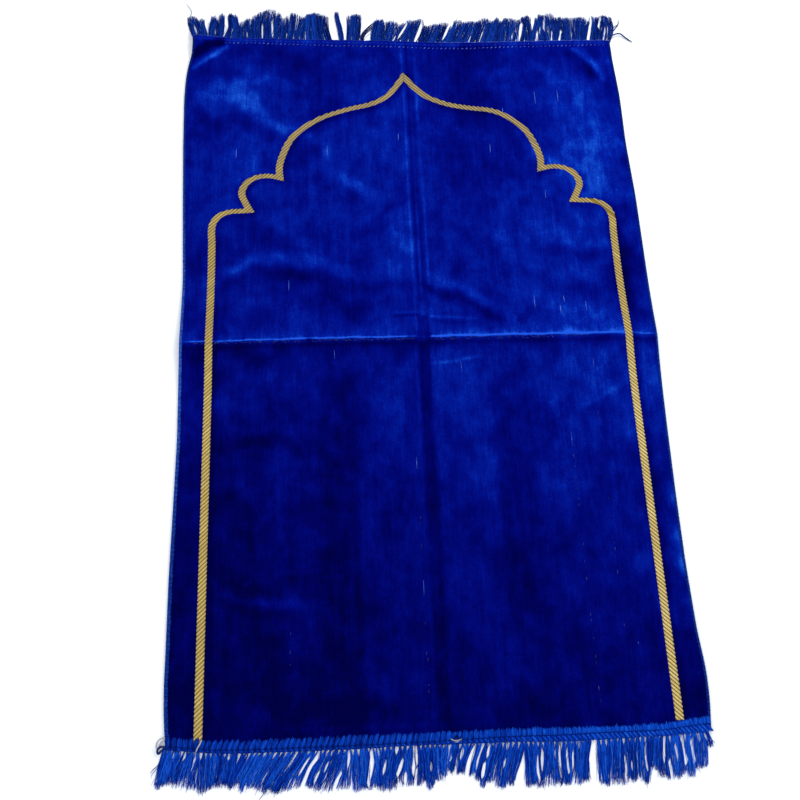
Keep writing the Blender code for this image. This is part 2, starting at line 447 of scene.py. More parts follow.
wornThread = makeYarn("worn warp end", (.005, .012, .100), (.020, .038, .170), (.080, .110, .260))
fleckThread = makeYarn("pale warp end", (.003, .014, .200), (.030, .090, .540), (.140, .290, .860))
looseYarn = makeYarn("loose blue thread", (.002, .008, .060), (.008, .022, .120), (.030, .060, .220))
greyYarn = makeYarn("loose grey thread", (.120, .140, .220), (.300, .320, .400), (.560, .560, .540))
paleThread = makeYarn("pale blue sewing thread", (.003, .014, .180), (.020, .042, .310), (.090, .150, .520))
print("materials made")


# the floor, lights and camera

def makeStudio():
    bpy.ops.object.select_all(action="DESELECT")
    bpy.ops.mesh.primitive_plane_add(size=studio["floorSize"])
    floor = bpy.context.object
    floor.name = "floor"
    material, nodes, _ = newMaterial("pale floor")
    nodes["Principled BSDF"].inputs["Base Color"].default_value = (*studio["floorColour"], 1.0)
    nodes["Principled BSDF"].inputs["Roughness"].default_value = studio["floorRoughness"]
    floor.data.materials.append(material)

    world = bpy.data.worlds.new("soft room")
    world.use_nodes = True
    sky = world.node_tree.nodes["Background"]
    sky.inputs["Color"].default_value = (*studio["skyColour"], 1.0)
    sky.inputs["Strength"].default_value = studio["skyStrength"]
    bpy.context.scene.world = world
    bpy.context.scene.view_settings.view_transform = "Standard"

    for name in ("key", "fill"):
        bpy.ops.object.light_add(type="AREA", location=studio[name + "Place"])
        light = bpy.context.object
        light.name = name
        light.data.size = studio[name + "Size"]
        light.data.energy = studio[name + "Power"]
        aim = np.array(studio["lightAim"]) - np.array(studio[name + "Place"])
        flat = math.hypot(aim[0], aim[1])
        light.rotation_euler = (math.atan2(flat, -aim[2]), 0.0, math.atan2(-aim[0], aim[1]))

    bpy.ops.object.camera_add(location=studio["cameraPlace"],
                              rotation=[math.radians(a) for a in studio["cameraTurn"]])
    camera = bpy.context.object
    camera.name = "camera"
    camera.data.lens = studio["lens"]
    camera.data.sensor_width = studio["sensorWidth"]
    bpy.context.scene.camera = camera


makeStudio()
print("studio made")


# the gold band's course

band = {
    # the pen that draws the band is an oval
    "halfX": 0.0055,
    "halfY": 0.0042,
    "apexShift": -0.0045,  # the tip sits to the left
    "apexReach": 0.06,
    "sideDrop": 0.0060,  # the right half sits this much further back than drawn, the left further front
    "endDrop": 0.0022,  # the same at the front ends
    "dropFrom": (0.08, 0.16),  # how far out the drop sets in
    "endDropFrom": (0.30, 0.55),  # how far to the front the end's drop takes over
    "limbs": [
        [(0, .4850), (.0080, .4732), (.0180, .4597), (.0300, .4466), (.0440, .4376), (.0620, .4297),
         (.0980, .4208), (.1425, .4080), (.1705, .3896), (.1885, .3699), (.2010, .3425), (.2075, .3138),
         (.2062, .2970)],
        [(.2062, .2970), (.2300, .3008), (.2481, .2961), (.2607, .2845), (.2654, .2703),
         (.2596, .2523), (.2527, .2383)],
        [(.2527, .2383), (.2650, .2375), (.2840, .2361), (.2998, .2288), (.3087, .2151),
         (.3103, .2012), (.3094, .1850), (.3090, .1600), (.3090, .0), (.3090, -.2), (.3090, -.5462)],
    ],
    "drawStep": 0.0008,
    "step": 0.0028,
    "clear": 0.985,  # an edge nearer than this share of the half width to another limb is left out
    "cut": [(-1.34, .0040), (-1.16, .0033), (-1.05, .0029), (-1.00, .0024), (-1.00, .0014),
            (1.00, .0014), (1.00, .0024), (1.05, .0029), (1.16, .0033), (1.34, .0040)],
    "cordTrim": [(-1.04, .0004), (1.04, .0004), (1.04, .0050), (-1.04, .0050)],
    "cordAngle": 43.0,
    "cordPitch": 0.0057,  # along the rug
    "cordRadius": 0.00150,
    "cordFlatness": 0.66,
    "cordHeight": 0.00175,
    "cordStep": 0.0035,
    "cordSpot": 0.0010,  # how finely a cord feels for the band's sides
    "cordOverrun": 0.016,
    "cordSide": 0.010,
    "cordReach": 1.35,
    # painted light and shade: how light the cords look along the rug, in its two halves
    "tones": {"y": [-.54, -.01, .02, .20, .28, .42], "left": [.48, .53, .36, .32, .24, .20],
              "right": [.66, .66, .46, .44, .27, .22]},
}


def smoothLine(nodes, step):
    nodes = np.array(nodes, dtype=float)
    gaps = np.linalg.norm(np.diff(nodes, axis=0), axis=1)[:, None]
    slopes = np.diff(nodes, axis=0) / gaps
    inner = (slopes[:-1] * gaps[1:] + slopes[1:] * gaps[:-1]) / (gaps[:-1] + gaps[1:])
    tangents = np.vstack([1.5 * slopes[:1] - 0.5 * inner[:1], inner, 1.5 * slopes[-1:] - 0.5 * inner[-1:]])
    line = []
    for i, gap in enumerate(gaps[:, 0]):
        t = np.linspace(0.0, 1.0, max(2, int(gap / step) + 1), endpoint=False)[:, None]
        line.append((2 * t ** 3 - 3 * t ** 2 + 1) * nodes[i] + (t ** 3 - 2 * t ** 2 + t) * gap * tangents[i]
                    + (3 * t ** 2 - 2 * t ** 3) * nodes[i + 1] + (t ** 3 - t ** 2) * gap * tangents[i + 1])
    return np.vstack(line + [nodes[-1:]])


def resample(line, count):
    length = np.concatenate([[0.0], np.cumsum(np.linalg.norm(np.diff(line, axis=0), axis=1))])
    share = np.linspace(0.0, length[-1], count)
    return np.stack([np.interp(share, length, line[:, 0]), np.interp(share, length, line[:, 1])], 1)


def pointTree(places):
    tree = KDTree(len(places))
    for number, place in enumerate(places):
        tree.insert((*place, 0.0), number)
    tree.balance()
    return tree


def bandEdges():
    # outer and inner edge of the right half, from the apex down, paired station by station
    pen = np.array([band["halfX"], band["halfY"]])
    limbs = [smoothLine(limb, band["drawStep"]) / pen for limb in band["limbs"]]
    tree = pointTree(np.vstack(limbs + [limbs[0] * (-1.0, 1.0)]))
    normals = []
    for limb in limbs:
        run = np.gradient(limb, axis=0)
        run /= np.linalg.norm(run, axis=1)[:, None]
        normals.append(np.stack([-run[:, 1], run[:, 0]], 1))
    edges = []
    for side in (1.0, -1.0):
        parts = []
        for i, limb in enumerate(limbs):
            edge = limb + side * normals[i]
            clear = np.array([tree.find((*point, 0.0))[2] > band["clear"] for point in edge])
            before = normals[i - 1][-1] if i else normals[0][0] * (-1.0, 1.0)
            after = normals[i + 1][0] if i + 1 < len(limbs) else normals[i][-1]
            first, last = normals[i][0], normals[i][-1]
            start = limb[0] + side * (before + first) / (1.0 + before @ first)
            end = limb[-1] + side * (last + after) / (1.0 + last @ after)
            middle = edge[clear]
            parts.append(np.vstack([start, middle[1:-1], end]))
        edges.append(parts)
    outer, inner = [], []
    for outerPart, innerPart in zip(*edges):
        length = np.linalg.norm(np.diff(outerPart * pen, axis=0), axis=1).sum()
        count = int(length / band["step"]) + 2
        for line, part in ((outer, outerPart), (inner, innerPart)):
            line.append(resample(part * pen, count)[1 if line else 0:])
    return np.vstack(outer), np.vstack(inner)


def settle(places, sign):
    # mirrors a place for the left half, then leans the drawing as it was woven
    x, y = places[:, 0] * sign, places[:, 1].copy()
    drop = band["sideDrop"] + (band["endDrop"] - band["sideDrop"]) * smoothStep(*band["endDropFrom"], -y)
    y += drop * sign * smoothStep(*band["dropFrom"], np.abs(x))
    x += band["apexShift"] * (1.0 - smoothStep(0.0, band["apexReach"], np.abs(x)))
    return np.stack([x, y], 1)


outerEdge, innerEdge = bandEdges()


def bandPrism(name, profile, signs):
    # a closed bar along the band, its section given in shares of the half width and in heights
    stations = []
    for sign in signs:
        centre, reach = (outerEdge + innerEdge) / 2, (outerEdge - innerEdge) / 2
        rows = [[settle(centre + reach * share, sign), z] for share, z in profile]
        block = np.stack([np.column_stack([xy, np.full(len(xy), z)]) for xy, z in rows], 1)
        stations.append(block[::-1] if sign < 0 else block[1 if stations else 0:])
    stations = np.vstack(stations)
    around = len(profile)
    prism, column, row = addGrid(name, around + 1, len(stations))
    writePoints(prism, stations[row, column % around])
    pickOnly(prism)
    bpy.ops.object.mode_set(mode="EDIT")
    bpy.ops.mesh.select_all(action="SELECT")
    bpy.ops.mesh.remove_doubles(threshold=0.00001)
    bpy.ops.mesh.select_all(action="DESELECT")
    bpy.ops.mesh.select_non_manifold()
    bpy.ops.mesh.fill_holes(sides=around)
    bpy.ops.mesh.select_all(action="SELECT")
    bpy.ops.mesh.normals_make_consistent(inside=False)
    bpy.ops.object.mode_set(mode="OBJECT")
    return prism


# the serged side edges: how wide and how light the yarn round them is, front to back, the lightness a painted
# highlight where the edge catches the light

serging = {
    "pitch": 0.0018,
    "top": 0.00325,
    "bottom": 0.00085,
    "yarnRadius": 0.00072,
    "pointsPerTurn": 8,
    "wander": 0.00012,
    "squareness": (0.6, 0.8),  # across and up: 1 winds an oval, less a box
    "swells": [(0.10, 1.9), (0.06, 0.37)],  # how much the width swells, and how fast from turn to turn
    "streaks": (0.08, 900),  # how much the tone changes along the edge, and how fast
    "clothShare": 0.62,  # how much of the width lies beyond the cloth
    "y": [-.560, -.300, .0, .150, .300, .480, .510, .560],
    "leftWidth": [.0046, .0042, .0034, .0028, .0026, .0024, .0022, .0022],
    "rightWidth": [.0030, .0024, .0020, .0020, .0020, .0020, .0020, .0020],
    "leftTone": [.40, .46, .74, .58, .36, .20, .06, .06],
    "rightTone": [.30, .34, .44, .34, .26, .20, .20, .20],
}


def sergingWidth(y, sign):
    return fromTable(serging, "y", "leftWidth" if sign < 0 else "rightWidth", y)


# the velvet cloth: flat first, cut for the gold band, then laid over its folds

weaving = {
    "name": "velvet_cloth",
    "front": -0.557,
    "back": 0.560,
    "frontFade": -0.44,  # the cloth's ends follow the rug's from here on
    "backFade": 0.425,
    "columnSpacing": 0.0052,
    "rowSpacing": 0.0056,
    # where the grid is finer: place, reach, spacing
    "fineColumns": [(0.004, 0.020, 0.0018), (-0.350, 0.006, 0.003), (0.350, 0.006, 0.003)],
    "fineRows": [(0.0080, 0.010, 0.0011), (0.045, 0.008, 0.0016), (-0.029, 0.006, 0.0016),
                 (0.560, 0.030, 0.0030), (-0.557, 0.012, 0.004), (0.51, 0.030, 0.0042)],
    # the pile thins towards the sides and the front
    "thinSides": (0.0030, 0.0085),
    "thinFront": (0.003, 0.015),
    "thinning": 0.55,
    "bedTop": 0.0016,  # what faces up below this height is the band's bed
}


def makeCloth():
    half, front, back = rug["halfWidth"], weaving["front"], weaving["back"]
    columns = gridLines(-half, half, weaving["columnSpacing"], weaving["fineColumns"])
    rows = gridLines(front, back, weaving["rowSpacing"], weaving["fineRows"])
    cloth, column, row = addGrid(weaving["name"], len(columns), len(rows))
    x, y = columns[column], rows[row]
    frontShare = 1 - smoothStep(front, weaving["frontFade"], y)
    backShare = smoothStep(weaving["backFade"], back, y)
    y = y + frontShare * (endY(x, "front") + rug["frontInset"] - front) + backShare * (endY(x, "back") - back)
    share = serging["clothShare"]
    left, right = (sign * sideX(y, sign) - share * sergingWidth(y, sign) for sign in (-1, 1))
    x = x * np.where(x < 0, left, right) / half
    writePoints(cloth, np.stack([x, y, np.zeros(len(x))], 1))
    wall = cloth.modifiers.new("thickness", "SOLIDIFY")
    wall.thickness = rug["thickness"]
    wall.offset = 1.0
    applyAll(cloth)
    cutWith(cloth, bandPrism("band_cutter", band["cut"], (-1.0, 1.0)), "DIFFERENCE")
    places = readPoints(cloth)
    x, y = places[:, 0], places[:, 1]
    reach = np.where(x < 0, -sideX(y, -1), sideX(y, 1))
    wearAndSheen = 1 - smoothStep(*weaving["thinSides"], reach - np.abs(x))
    wearAndSheen = np.maximum(wearAndSheen, 1 - smoothStep(*weaving["thinFront"], y - endY(x, "front")))
    middle = rug["thickness"] * 0.5
    places[:, 2] = middle + (places[:, 2] - middle) * (1 - weaving["thinning"] * wearAndSheen)
    writePoints(cloth, places)
    return cloth


cloth = makeCloth()
print("cloth cut:", len(cloth.data.polygons), "faces")


def markFinishes(cloth):
    # the underside, the gold band's bed and the pile each take their own finish
    cloth.data.materials.clear()
    for material in (velvet, backing, goldBed):
        cloth.data.materials.append(material)
    count = len(cloth.data.polygons)
    normals, centres = np.empty(count * 3), np.empty(count * 3)
    cloth.data.polygons.foreach_get("normal", normals)
    cloth.data.polygons.foreach_get("center", centres)
    down, height = normals.reshape(-1, 3)[:, 2], centres.reshape(-1, 3)[:, 2]
    slots = np.where(down < -0.9, 1, np.where((height < weaving["bedTop"]) & (down > 0.9), 2, 0))
    cloth.data.polygons.foreach_set("material_index", slots.astype(np.int32))


markFinishes(cloth)


napSheen = {
    # how light the pile looks down each side of the rug, in its two halves: painted light and shade of the
    # velvet's sheen, lighter on the right and at the back
    "front": {
        "y": [-.55, -.40, -.25, -.10, .0],
        "left": [.07, .14, .19, .35, .39],
        "right": [.21, .34, .46, .62, .64],
    },
    "back": {
        "y": [.02, .15, .30, .45, .55],
        "left": [.49, .49, .56, .57, .50],
        "right": [.66, .63, .63, .60, .46],
    },
    # painted light and shade on the creases' slopes, by how they face the light
    "slopeShadeGain": 1.1,
    "lightFrom": (0.55, 0.83),
    # painted shade beside the band, on the side away from the light, where the pile leans down towards it
    "bandShade": -0.26,
    "bandShadeFrom": (0.75, 0.66),
    "bandShadeStart": 0.004,
    "bandShadeReach": 0.0095,
    # lighter between the back edge and the stitches
    "tapeTone": 0.17,
    "tapeEdge": (0.0, 0.003),
    "tapeStitches": (0.006, 0.0095),
    # painted highlight along the crest of the fold, and painted shade in front of it
    "crest": {"x": [-.350, -.336, -.318, -.306, -.260, -.180, -.140, -.060, -.010, -.004, .012, .018,
                    .060, .120, .170, .240, .300, .316, .350],
              "tone": [.0, .34, .52, .44, .42, .44, .52, .44, .38, .06, .06, .76,
                       .72, .62, .80, .84, .66, .26, .18]},
    "crestAt": 0.0010,
    "crestReach": 0.0013,
    "glowShare": 0.44,
    "glowReach": 0.0100,
    "crestShade": -0.22,
    "crestShadeAt": -0.0082,
    "crestShadeReach": 0.0042,
    # panels pressed flat in the packet, with painted shade and light on them, darkest down the middle crease:
    # tone, from x, to x, from y, to y, softness of sides and ends
    "panels": [
        (-.08, -3, 13, 60, 270, 3.4, 20), (-.05, 0, 12, 250, 540, 4, 20), (-.17, -3, 14, 10, 44, 4, 8),
        (-.15, -3, 13, -110, -4, 4, 30), (-.13, -3, 12, -535, -2, 5, 8), (-.07, -3, 12, -270, -2, 5, 60),
        (.07, -95, -8, -530, -30, 6, 60), (.06, 16, 98, -530, -30, 6, 40),
        (-.12, 100, 152, -400, -20, 12, 30), (-.10, -152, -98, -540, -45, 12, 40),
        (-.04, -350, -318, 30, 500, 4, 40),
    ],
    "drift": 6.0,  # how far the edges of the clouds wander, in millimetres
    # clouds of painted sheen and shade where the pile was brushed, from the back to the front of each part of
    # the rug: tone, reach, then the places each runs through, all in millimetres
    "clouds": {
        "back left": [
            (.07, 10, (-292, 530), (-280, 520)), (-.22, 28, (-212, 530), (-192, 508)),
            (.10, 26, (-240, 505), (-222, 480)), (.16, 18, (-282, 480), (-270, 476)),
            (-.14, 34, (-152, 512), (-150, 430)), (.22, 25, (-318, 434), (-302, 462), (-290, 462)),
            (.28, 17, (-276, 446), (-238, 415), (-186, 383)), (-.12, 24, (-332, 440), (-330, 380)),
            (-.12, 24, (-148, 404), (-140, 392)), (-.14, 22, (-322, 402), (-292, 392)),
            (-.10, 14, (-264, 396), (-230, 372)), (.10, 18, (-300, 382), (-290, 374)),
            (.10, 14, (-150, 366), (-132, 346)), (-.14, 11, (-349, 362), (-349, 322)),
            (-.17, 17, (-192, 362), (-180, 318)), (-.12, 16, (-160, 345), (-152, 300)),
            (.14, 28, (-262, 350), (-255, 292)), (.10, 17, (-230, 308), (-218, 296)),
            (.07, 12, (-332, 270), (-330, 256)), (.13, 22, (-278, 238), (-300, 226)),
            (.10, 16, (-190, 224), (-202, 200)), (.08, 20, (-262, 182), (-282, 200)),
            (-.14, 20, (-245, 192), (-216, 166)), (-.12, 22, (-204, 178), (-190, 170)),
            (-.08, 14, (-161, 160), (-168, 154)),
            (.07, 12, (-298, 112), (-262, 138), (-222, 150), (-180, 144)),
            (.10, 14, (-300, 132), (-290, 134)), (.18, 15, (-312, 92), (-290, 124), (-254, 138)),
            (-.15, 11, (-300, 92), (-255, 116), (-215, 126), (-160, 116), (-100, 100), (-50, 94)),
            (.12, 22, (-262, 76), (-196, 58)), (-.08, 18, (-300, 60), (-250, 50)),
            (.07, 14, (-330, 60), (-334, 20)),
        ],
        "back middle": [
            (.22, 7, (58, 554), (132, 549)), (-.24, 58, (92, 522), (100, 450)),
            (.06, 24, (-90, 420), (-50, 470)), (-.12, 8, (6, 446), (6, 430)),
            (.10, 12, (90, 378), (112, 382)), (-.07, 30, (92, 300), (90, 390)),
            (.06, 30, (-60, 380), (-60, 310)), (-.15, 52, (98, 395), (104, 285)),
            (-.09, 16, (-25, 325), (-28, 318)), (-.08, 20, (70, 350), (66, 290)),
            (.12, 11, (-94, 272), (-80, 264), (-48, 246)), (-.11, 24, (-88, 236), (-92, 222)),
            (-.14, 8, (0, 262), (-32, 236), (-62, 204), (-96, 180)), (-.11, 26, (84, 240), (92, 176)),
            (.18, 30, (-32, 200), (-30, 130)), (-.10, 13, (60, 140), (60, 110)),
            (.08, 14, (30, 120), (90, 80)), (-.12, 10, (-40, 92), (-12, 96)),
            (-.27, 10, (20, 94), (66, 70), (120, 40)), (-.22, 26, (-128, 72), (-82, 58)),
            (-.12, 20, (-94, 66), (-80, 56)), (-.10, 13, (-74, 38), (-62, 34)),
            (-.13, 14, (116, 24), (80, 34)),
        ],
        "back right": [
            (-.10, 16, (290, 505), (312, 480)), (.20, 24, (222, 494), (258, 480)),
            (-.14, 26, (318, 470), (316, 446)), (-.10, 26, (196, 470), (202, 424)),
            (-.16, 20, (186, 398), (226, 396)), (-.12, 34, (150, 430), (165, 330)),
            (-.10, 20, (284, 374), (284, 384)), (.20, 30, (303, 434), (298, 290)),
            (-.14, 11, (349, 362), (349, 322)), (.15, 15, (260, 336), (257, 320)),
            (.32, 16, (207, 343), (238, 300)), (-.10, 24, (139, 296), (142, 280)),
            (.12, 26, (254, 292), (250, 274)), (.12, 20, (300, 264), (262, 262)),
            (-.09, 16, (191, 265), (186, 257)), (.13, 16, (278, 262), (270, 254)),
            (-.10, 13, (230, 256), (240, 232)), (-.14, 10, (319, 233), (345, 226)),
            (-.07, 9, (118, 320), (118, 90)), (.14, 28, (188, 205), (222, 168)),
            (-.08, 14, (235, 185), (241, 180)), (-.16, 22, (318, 190), (320, 150)),
            (-.12, 11, (190, 152), (255, 149), (318, 146)), (-.20, 16, (300, 108), (318, 96)),
            (-.38, 22, (322, 138), (316, 56)), (-.12, 10, (345, 102), (345, 90)),
            (-.10, 14, (205, 100), (270, 88)), (-.14, 24, (252, 84), (262, 66)),
            (.09, 18, (180, 60), (260, 40)), (-.10, 16, (250, 52), (262, 46)),
            (-.16, 9, (170, 40), (150, 30)),
        ],
        "front left": [
            (-.16, 18, (-336, -16), (-236, -18)), (-.10, 18, (-245, -30), (-235, -66)),
            (-.10, 24, (-330, -44), (-318, -60)), (.10, 26, (-268, -48), (-212, -62)),
            (.08, 14, (-300, -92), (-250, -94)), (-.13, 11, (-296, -152), (-230, -146), (-158, -158)),
            (.12, 7, (-136, -163), (-118, -166)), (.10, 14, (-226, -172), (-166, -182)),
            (.10, 6, (-132, -196), (-108, -202)), (.10, 9, (-196, -196), (-160, -214)),
            (-.10, 9, (-182, -200), (-176, -216)), (-.13, 22, (-322, -215), (-262, -238)),
            (-.24, 13, (-268, -346), (-236, -354)), (.07, 20, (-215, -372), (-170, -420)),
            (-.08, 34, (-280, -440), (-180, -500)), (.10, 18, (-145, -520), (-136, -496)),
            (-.08, 20, (-262, -520), (-256, -496)), (-.10, 12, (-230, -508), (-30, -510)),
            (.12, 12, (-350, -538), (-350, -548)),
        ],
        "front middle": [
            (-.13, 13, (-345, -7), (345, -7)), (-.12, 15, (97, -32), (88, -112)),
            (-.12, 22, (-96, -60), (-96, -190)), (.07, 22, (70, -90), (74, -200)),
            (.10, 24, (-38, -104), (-34, -190)), (.05, 24, (60, -440), (90, -480)),
        ],
        "front right": [
            (.08, 16, (330, -20), (334, -90)), (-.12, 16, (214, -58), (226, -66)),
            (.08, 22, (258, -76), (288, -92)), (-.13, 26, (136, -112), (204, -112)),
            (-.07, 12, (175, -130), (185, -150)), (-.10, 20, (240, -166), (318, -172)),
            (.07, 22, (176, -190), (200, -240)), (.60, 17, (353, -240), (353, -410)),
            (.08, 18, (262, -330), (288, -345)), (.13, 14, (318, -330), (318, -430)),
            (.12, 22, (312, -396), (316, -410)), (-.08, 26, (345, -450), (335, -520)),
            (-.07, 30, (180, -470), (140, -520)),
        ],
    },
    # painted highlights and shade along narrow creases, and worn lines, in the same terms
    "lines": [
        (-.75, 8.5, (-346, 531), (-334, 541), (-318, 551), (-304, 554)),
        (-.20, 6, (-351, 500), (-352, 530)),
        (.38, 6.2, (-347, 505), (-336, 514), (-325, 524), (-313, 532), (-296, 545)),
        (-.12, 2, (-320, 523), (-315, 516)), (.10, 3, (-313, 530), (-312, 512)),
        (-.10, 10, (-340, 486), (-322, 498)),
        (.34, 4.6, (282, 537), (296, 522), (308, 507), (320, 490), (329, 474)),
        (-.16, 9, (272, 528), (288, 510), (304, 488)),
        (.16, 2.2, (-6, 548), (-6, 500), (-6, 420), (-5.5, 110), (-6, 20)),
        (.16, 2.4, (15, 544), (15, 400)), (.12, 3.6, (-8, 548), (-8, 440)),
        (-.15, 2.4, (1.0, 545), (1.4, 300), (1.6, 70)), (-.12, 2.2, (8.2, 440), (8.6, 250), (9, 80)),
        (.07, 5.0, (-9, 330), (-9, 240), (-8, 130)), (.15, 2.6, (4.4, 238), (4.8, 150), (5.2, 84)),
        (.14, 4.5, (5, 66), (6, 48)), (.05, 2.4, (15, 470), (16, 250)), (.17, 2.2, (16.5, 250), (17, 98)),
        (.09, 1.8, (-8, -6), (-8, -300), (-7, -500)),
        (.12, 5, (-296, -342), (-284, -358), (-262, -371), (-225, -378), (-172, -380)),
        (.20, 2.6, (-252, -347), (-246, -348)), (.12, 3.4, (-212, -338), (-166, -338), (-123, -343)),
        (.13, 4, (228, -106), (262, -89), (291, -71)),
        (.17, 3.4, (14, -33), (45, -31), (68, -26), (84, -24)), (.06, 3, (-85, -38), (-10, -41)),
        (.07, 4, (-200, -536), (-10, -537)), (-.20, 2.8, (-38, 44), (-4, 46)),
        (.14, 2.4, (-36, 51), (-2, 50)), (.18, 2.6, (17, 43), (45, 41), (83, 37)),
        (-.12, 3, (20, 35), (66, 30)), (.08, 3, (-340, 112), (-318, 116)), (.10, 4, (322, 240), (342, 236)),
    ],
}


def strokeTone(x, y, strokes):
    total = np.zeros(np.shape(x))
    for strength, reach, *course in strokes:
        away, _ = awayFrom([(a / 1000, b / 1000) for a, b in course], x, y)
        total += strength * (1 - smoothStep(0.0, reach / 1000 * 1.5, away))
    return total


def panelTone(x, y):
    total = np.zeros(np.shape(x))
    for strength, fromX, toX, fromY, toY, sideSoft, endSoft in napSheen["panels"]:
        inX = smoothStep(-sideSoft / 2, sideSoft / 2, np.minimum(x * 1000 - fromX, toX - x * 1000))
        inY = smoothStep(-endSoft / 2, endSoft / 2, np.minimum(y * 1000 - fromY, toY - y * 1000))
        total += strength * inX * inY
    return total


def crestTone(x, y):
    # painted highlight line and glow on the crest, painted shade just in front of it
    away = y - ridgeAt("y", x) + 0.0004 * np.sin(83 * x) + 0.0003 * np.sin(211 * x + 1.0)
    uneven = 1.06 + 0.26 * np.sin(149 * x) * np.sin(57 * x + 2.0) + 0.18 * np.sin(467 * x)
    line = np.exp(-((away - napSheen["crestAt"]) / napSheen["crestReach"]) ** 2)
    glow = np.where(away > 0, np.exp(-away / napSheen["glowReach"]), 0.0)
    shade = np.exp(-((away - napSheen["crestShadeAt"]) / napSheen["crestShadeReach"]) ** 2)
    wearAndSheen = fromTable(napSheen["crest"], "x", "tone", x) * uneven
    return wearAndSheen * (line + napSheen["glowShare"] * glow) + napSheen["crestShade"] * shade


def napSheenTone(x, y):
    # how light the pile looks, as painted light and shade: by half, by slope against the light, painted shade
    # beside the band, painted sheen where it has been brushed, and where it was pressed
    share = np.clip(0.5 + x / 0.5, 0.0, 1.0)
    front, back = (
        fromTable(napSheen[half], "y", "left", y) * (1 - share) + fromTable(napSheen[half], "y", "right", y) * share
        for half in ("front", "back"))
    ridgeY = ridgeAt("y", x)
    tone = front + (back - front) * smoothStep(-0.0012, 0.0012, y - ridgeY)
    step = 0.001
    slopeX = (creaseHeight(x + step, y) - creaseHeight(x - step, y)) / (2 * step)
    slopeY = (creaseHeight(x, y + step) - creaseHeight(x, y - step)) / (2 * step)
    tone -= napSheen["slopeShadeGain"] * (slopeX * napSheen["lightFrom"][0] + slopeY * napSheen["lightFrom"][1])
    inset = endY(x, "back") - y
    onTape = smoothStep(*napSheen["tapeEdge"], inset) * (1 - smoothStep(*napSheen["tapeStitches"], inset))
    tone += napSheen["tapeTone"] * onTape
    drift = napSheen["drift"] / 1000
    driftX = x + drift * (np.sin(61 * y + 23 * x + 1.0) + 0.6 * np.sin(143 * y - 37 * x))
    driftY = y + drift * (np.sin(57 * x - 19 * y + 2.0) + 0.6 * np.sin(131 * x + 41 * y))
    clouds = sum(strokeTone(driftX, driftY, strokes) for strokes in napSheen["clouds"].values())
    tone += clouds * smoothStep(0.0, 0.004, np.abs(y - ridgeY))
    return tone + strokeTone(x, y, napSheen["lines"]) + panelTone(x, y) + crestTone(x, y)


# painted shade in the pile beside the gold band
def bandShade(x, y):
    shade, (fromX, fromY), reach = np.zeros(len(x)), napSheen["bandShadeFrom"], napSheen["bandShadeReach"]
    for sign in (-1.0, 1.0):
        course = settle((outerEdge + innerEdge) / 2, sign)
        tree = pointTree(course)
        for number in np.nonzero(x * sign > -0.01)[0]:
            place, _, away = tree.find((x[number], y[number], 0.0))
            if napSheen["bandShadeStart"] < away < reach * 2:
                side = ((x[number] - place[0]) * fromX - (y[number] - place[1]) * fromY) / away
                fade = 1 - smoothStep(reach * 0.8, reach * 1.8, away)
                shade[number] = min(shade[number], napSheen["bandShade"] * max(side, 0.0) ** 0.5 * fade)
    return shade


# stores the pile's painted light, shade and sheen on the cloth
def addNapSheen(cloth):
    places = readPoints(cloth)
    x, y = places[:, 0], places[:, 1]
    tone = napSheenTone(x, y) + bandShade(x, y)
    layer = cloth.data.attributes.new("napSheen", "FLOAT", "POINT")
    layer.data.foreach_set("value", tone.astype(np.float32))


addNapSheen(cloth)
lift(cloth, clothHeight)
pickOnly(cloth)
bpy.ops.object.shade_smooth_by_angle(angle=math.radians(24))
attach(cloth, "root")
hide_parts("pile_cloth")
print("cloth laid:", sum(len(face.vertices) - 2 for face in cloth.data.polygons), "triangles")


# the gold cords of the band

def bandCords(name, sign):
    angle = math.radians(band["cordAngle"])
    along = np.array([math.cos(angle), -sign * math.sin(angle)])
    across = np.array([sign * math.sin(angle), math.cos(angle)])
    pitch = band["cordPitch"] * math.cos(angle)
    pen = np.array([band["halfX"], band["halfY"]])
    course = settle((outerEdge + innerEdge) / 2, sign)
    fine = np.vstack([resample(course[i:i + 2], 5)[:-1] for i in range(len(course) - 1)] + [course[-1:]])
    tree = pointTree(fine / pen)
    offsets = fine @ across
    lines = []
    overrun, spot = band["cordOverrun"], band["cordSpot"]
    for number in range(int(offsets.min() / pitch) - 2, int(offsets.max() / pitch) + 3):
        near = fine[np.abs(offsets - number * pitch) < band["cordSide"]] @ along
        if not len(near):
            continue
        spots = np.arange(near.min() - overrun, near.max() + overrun, spot)
        inside = [tree.find((*((along * s + across * number * pitch) / pen), 0.0))[2] < band["cordReach"]
                  for s in spots]
        start = None
        for i, isIn in enumerate(inside + [False]):
            if isIn and start is None:
                start = i
            elif not isIn and start is not None:
                first, last = spots[start] - spot, spots[i - 1] + spot
                steps = np.linspace(first, last, max(3, int((last - first) / band["cordStep"]) + 1))
                flat = np.outer(steps, along) + across * number * pitch
                lines.append(np.column_stack([flat, np.zeros(len(flat))]))
                start = None
    half = "left" if sign < 0 else "right"
    tones = [noise.normal(fromTable(band["tones"], "y", half, line[0, 1]), 0.05) for line in lines]
    cords = tubes(name, lines, band["cordRadius"], resolution=2, tones=tones)
    places = readPoints(cords)
    places[:, 2] = places[:, 2] * band["cordFlatness"] + band["cordHeight"]
    writePoints(cords, places)
    cutWith(cords, bandPrism(name + "_trim", band["cordTrim"], (sign,)), "INTERSECT")
    lift(cords, clothHeight)
    finish(cords, goldYarn, 40)
    return cords


for name, sign in (("gold_cords_left", -1.0), ("gold_cords_right", 1.0)):
    cords = bandCords(name, sign)
    print(name, len(cords.data.polygons), "faces")


# the yarn wound round the side edges

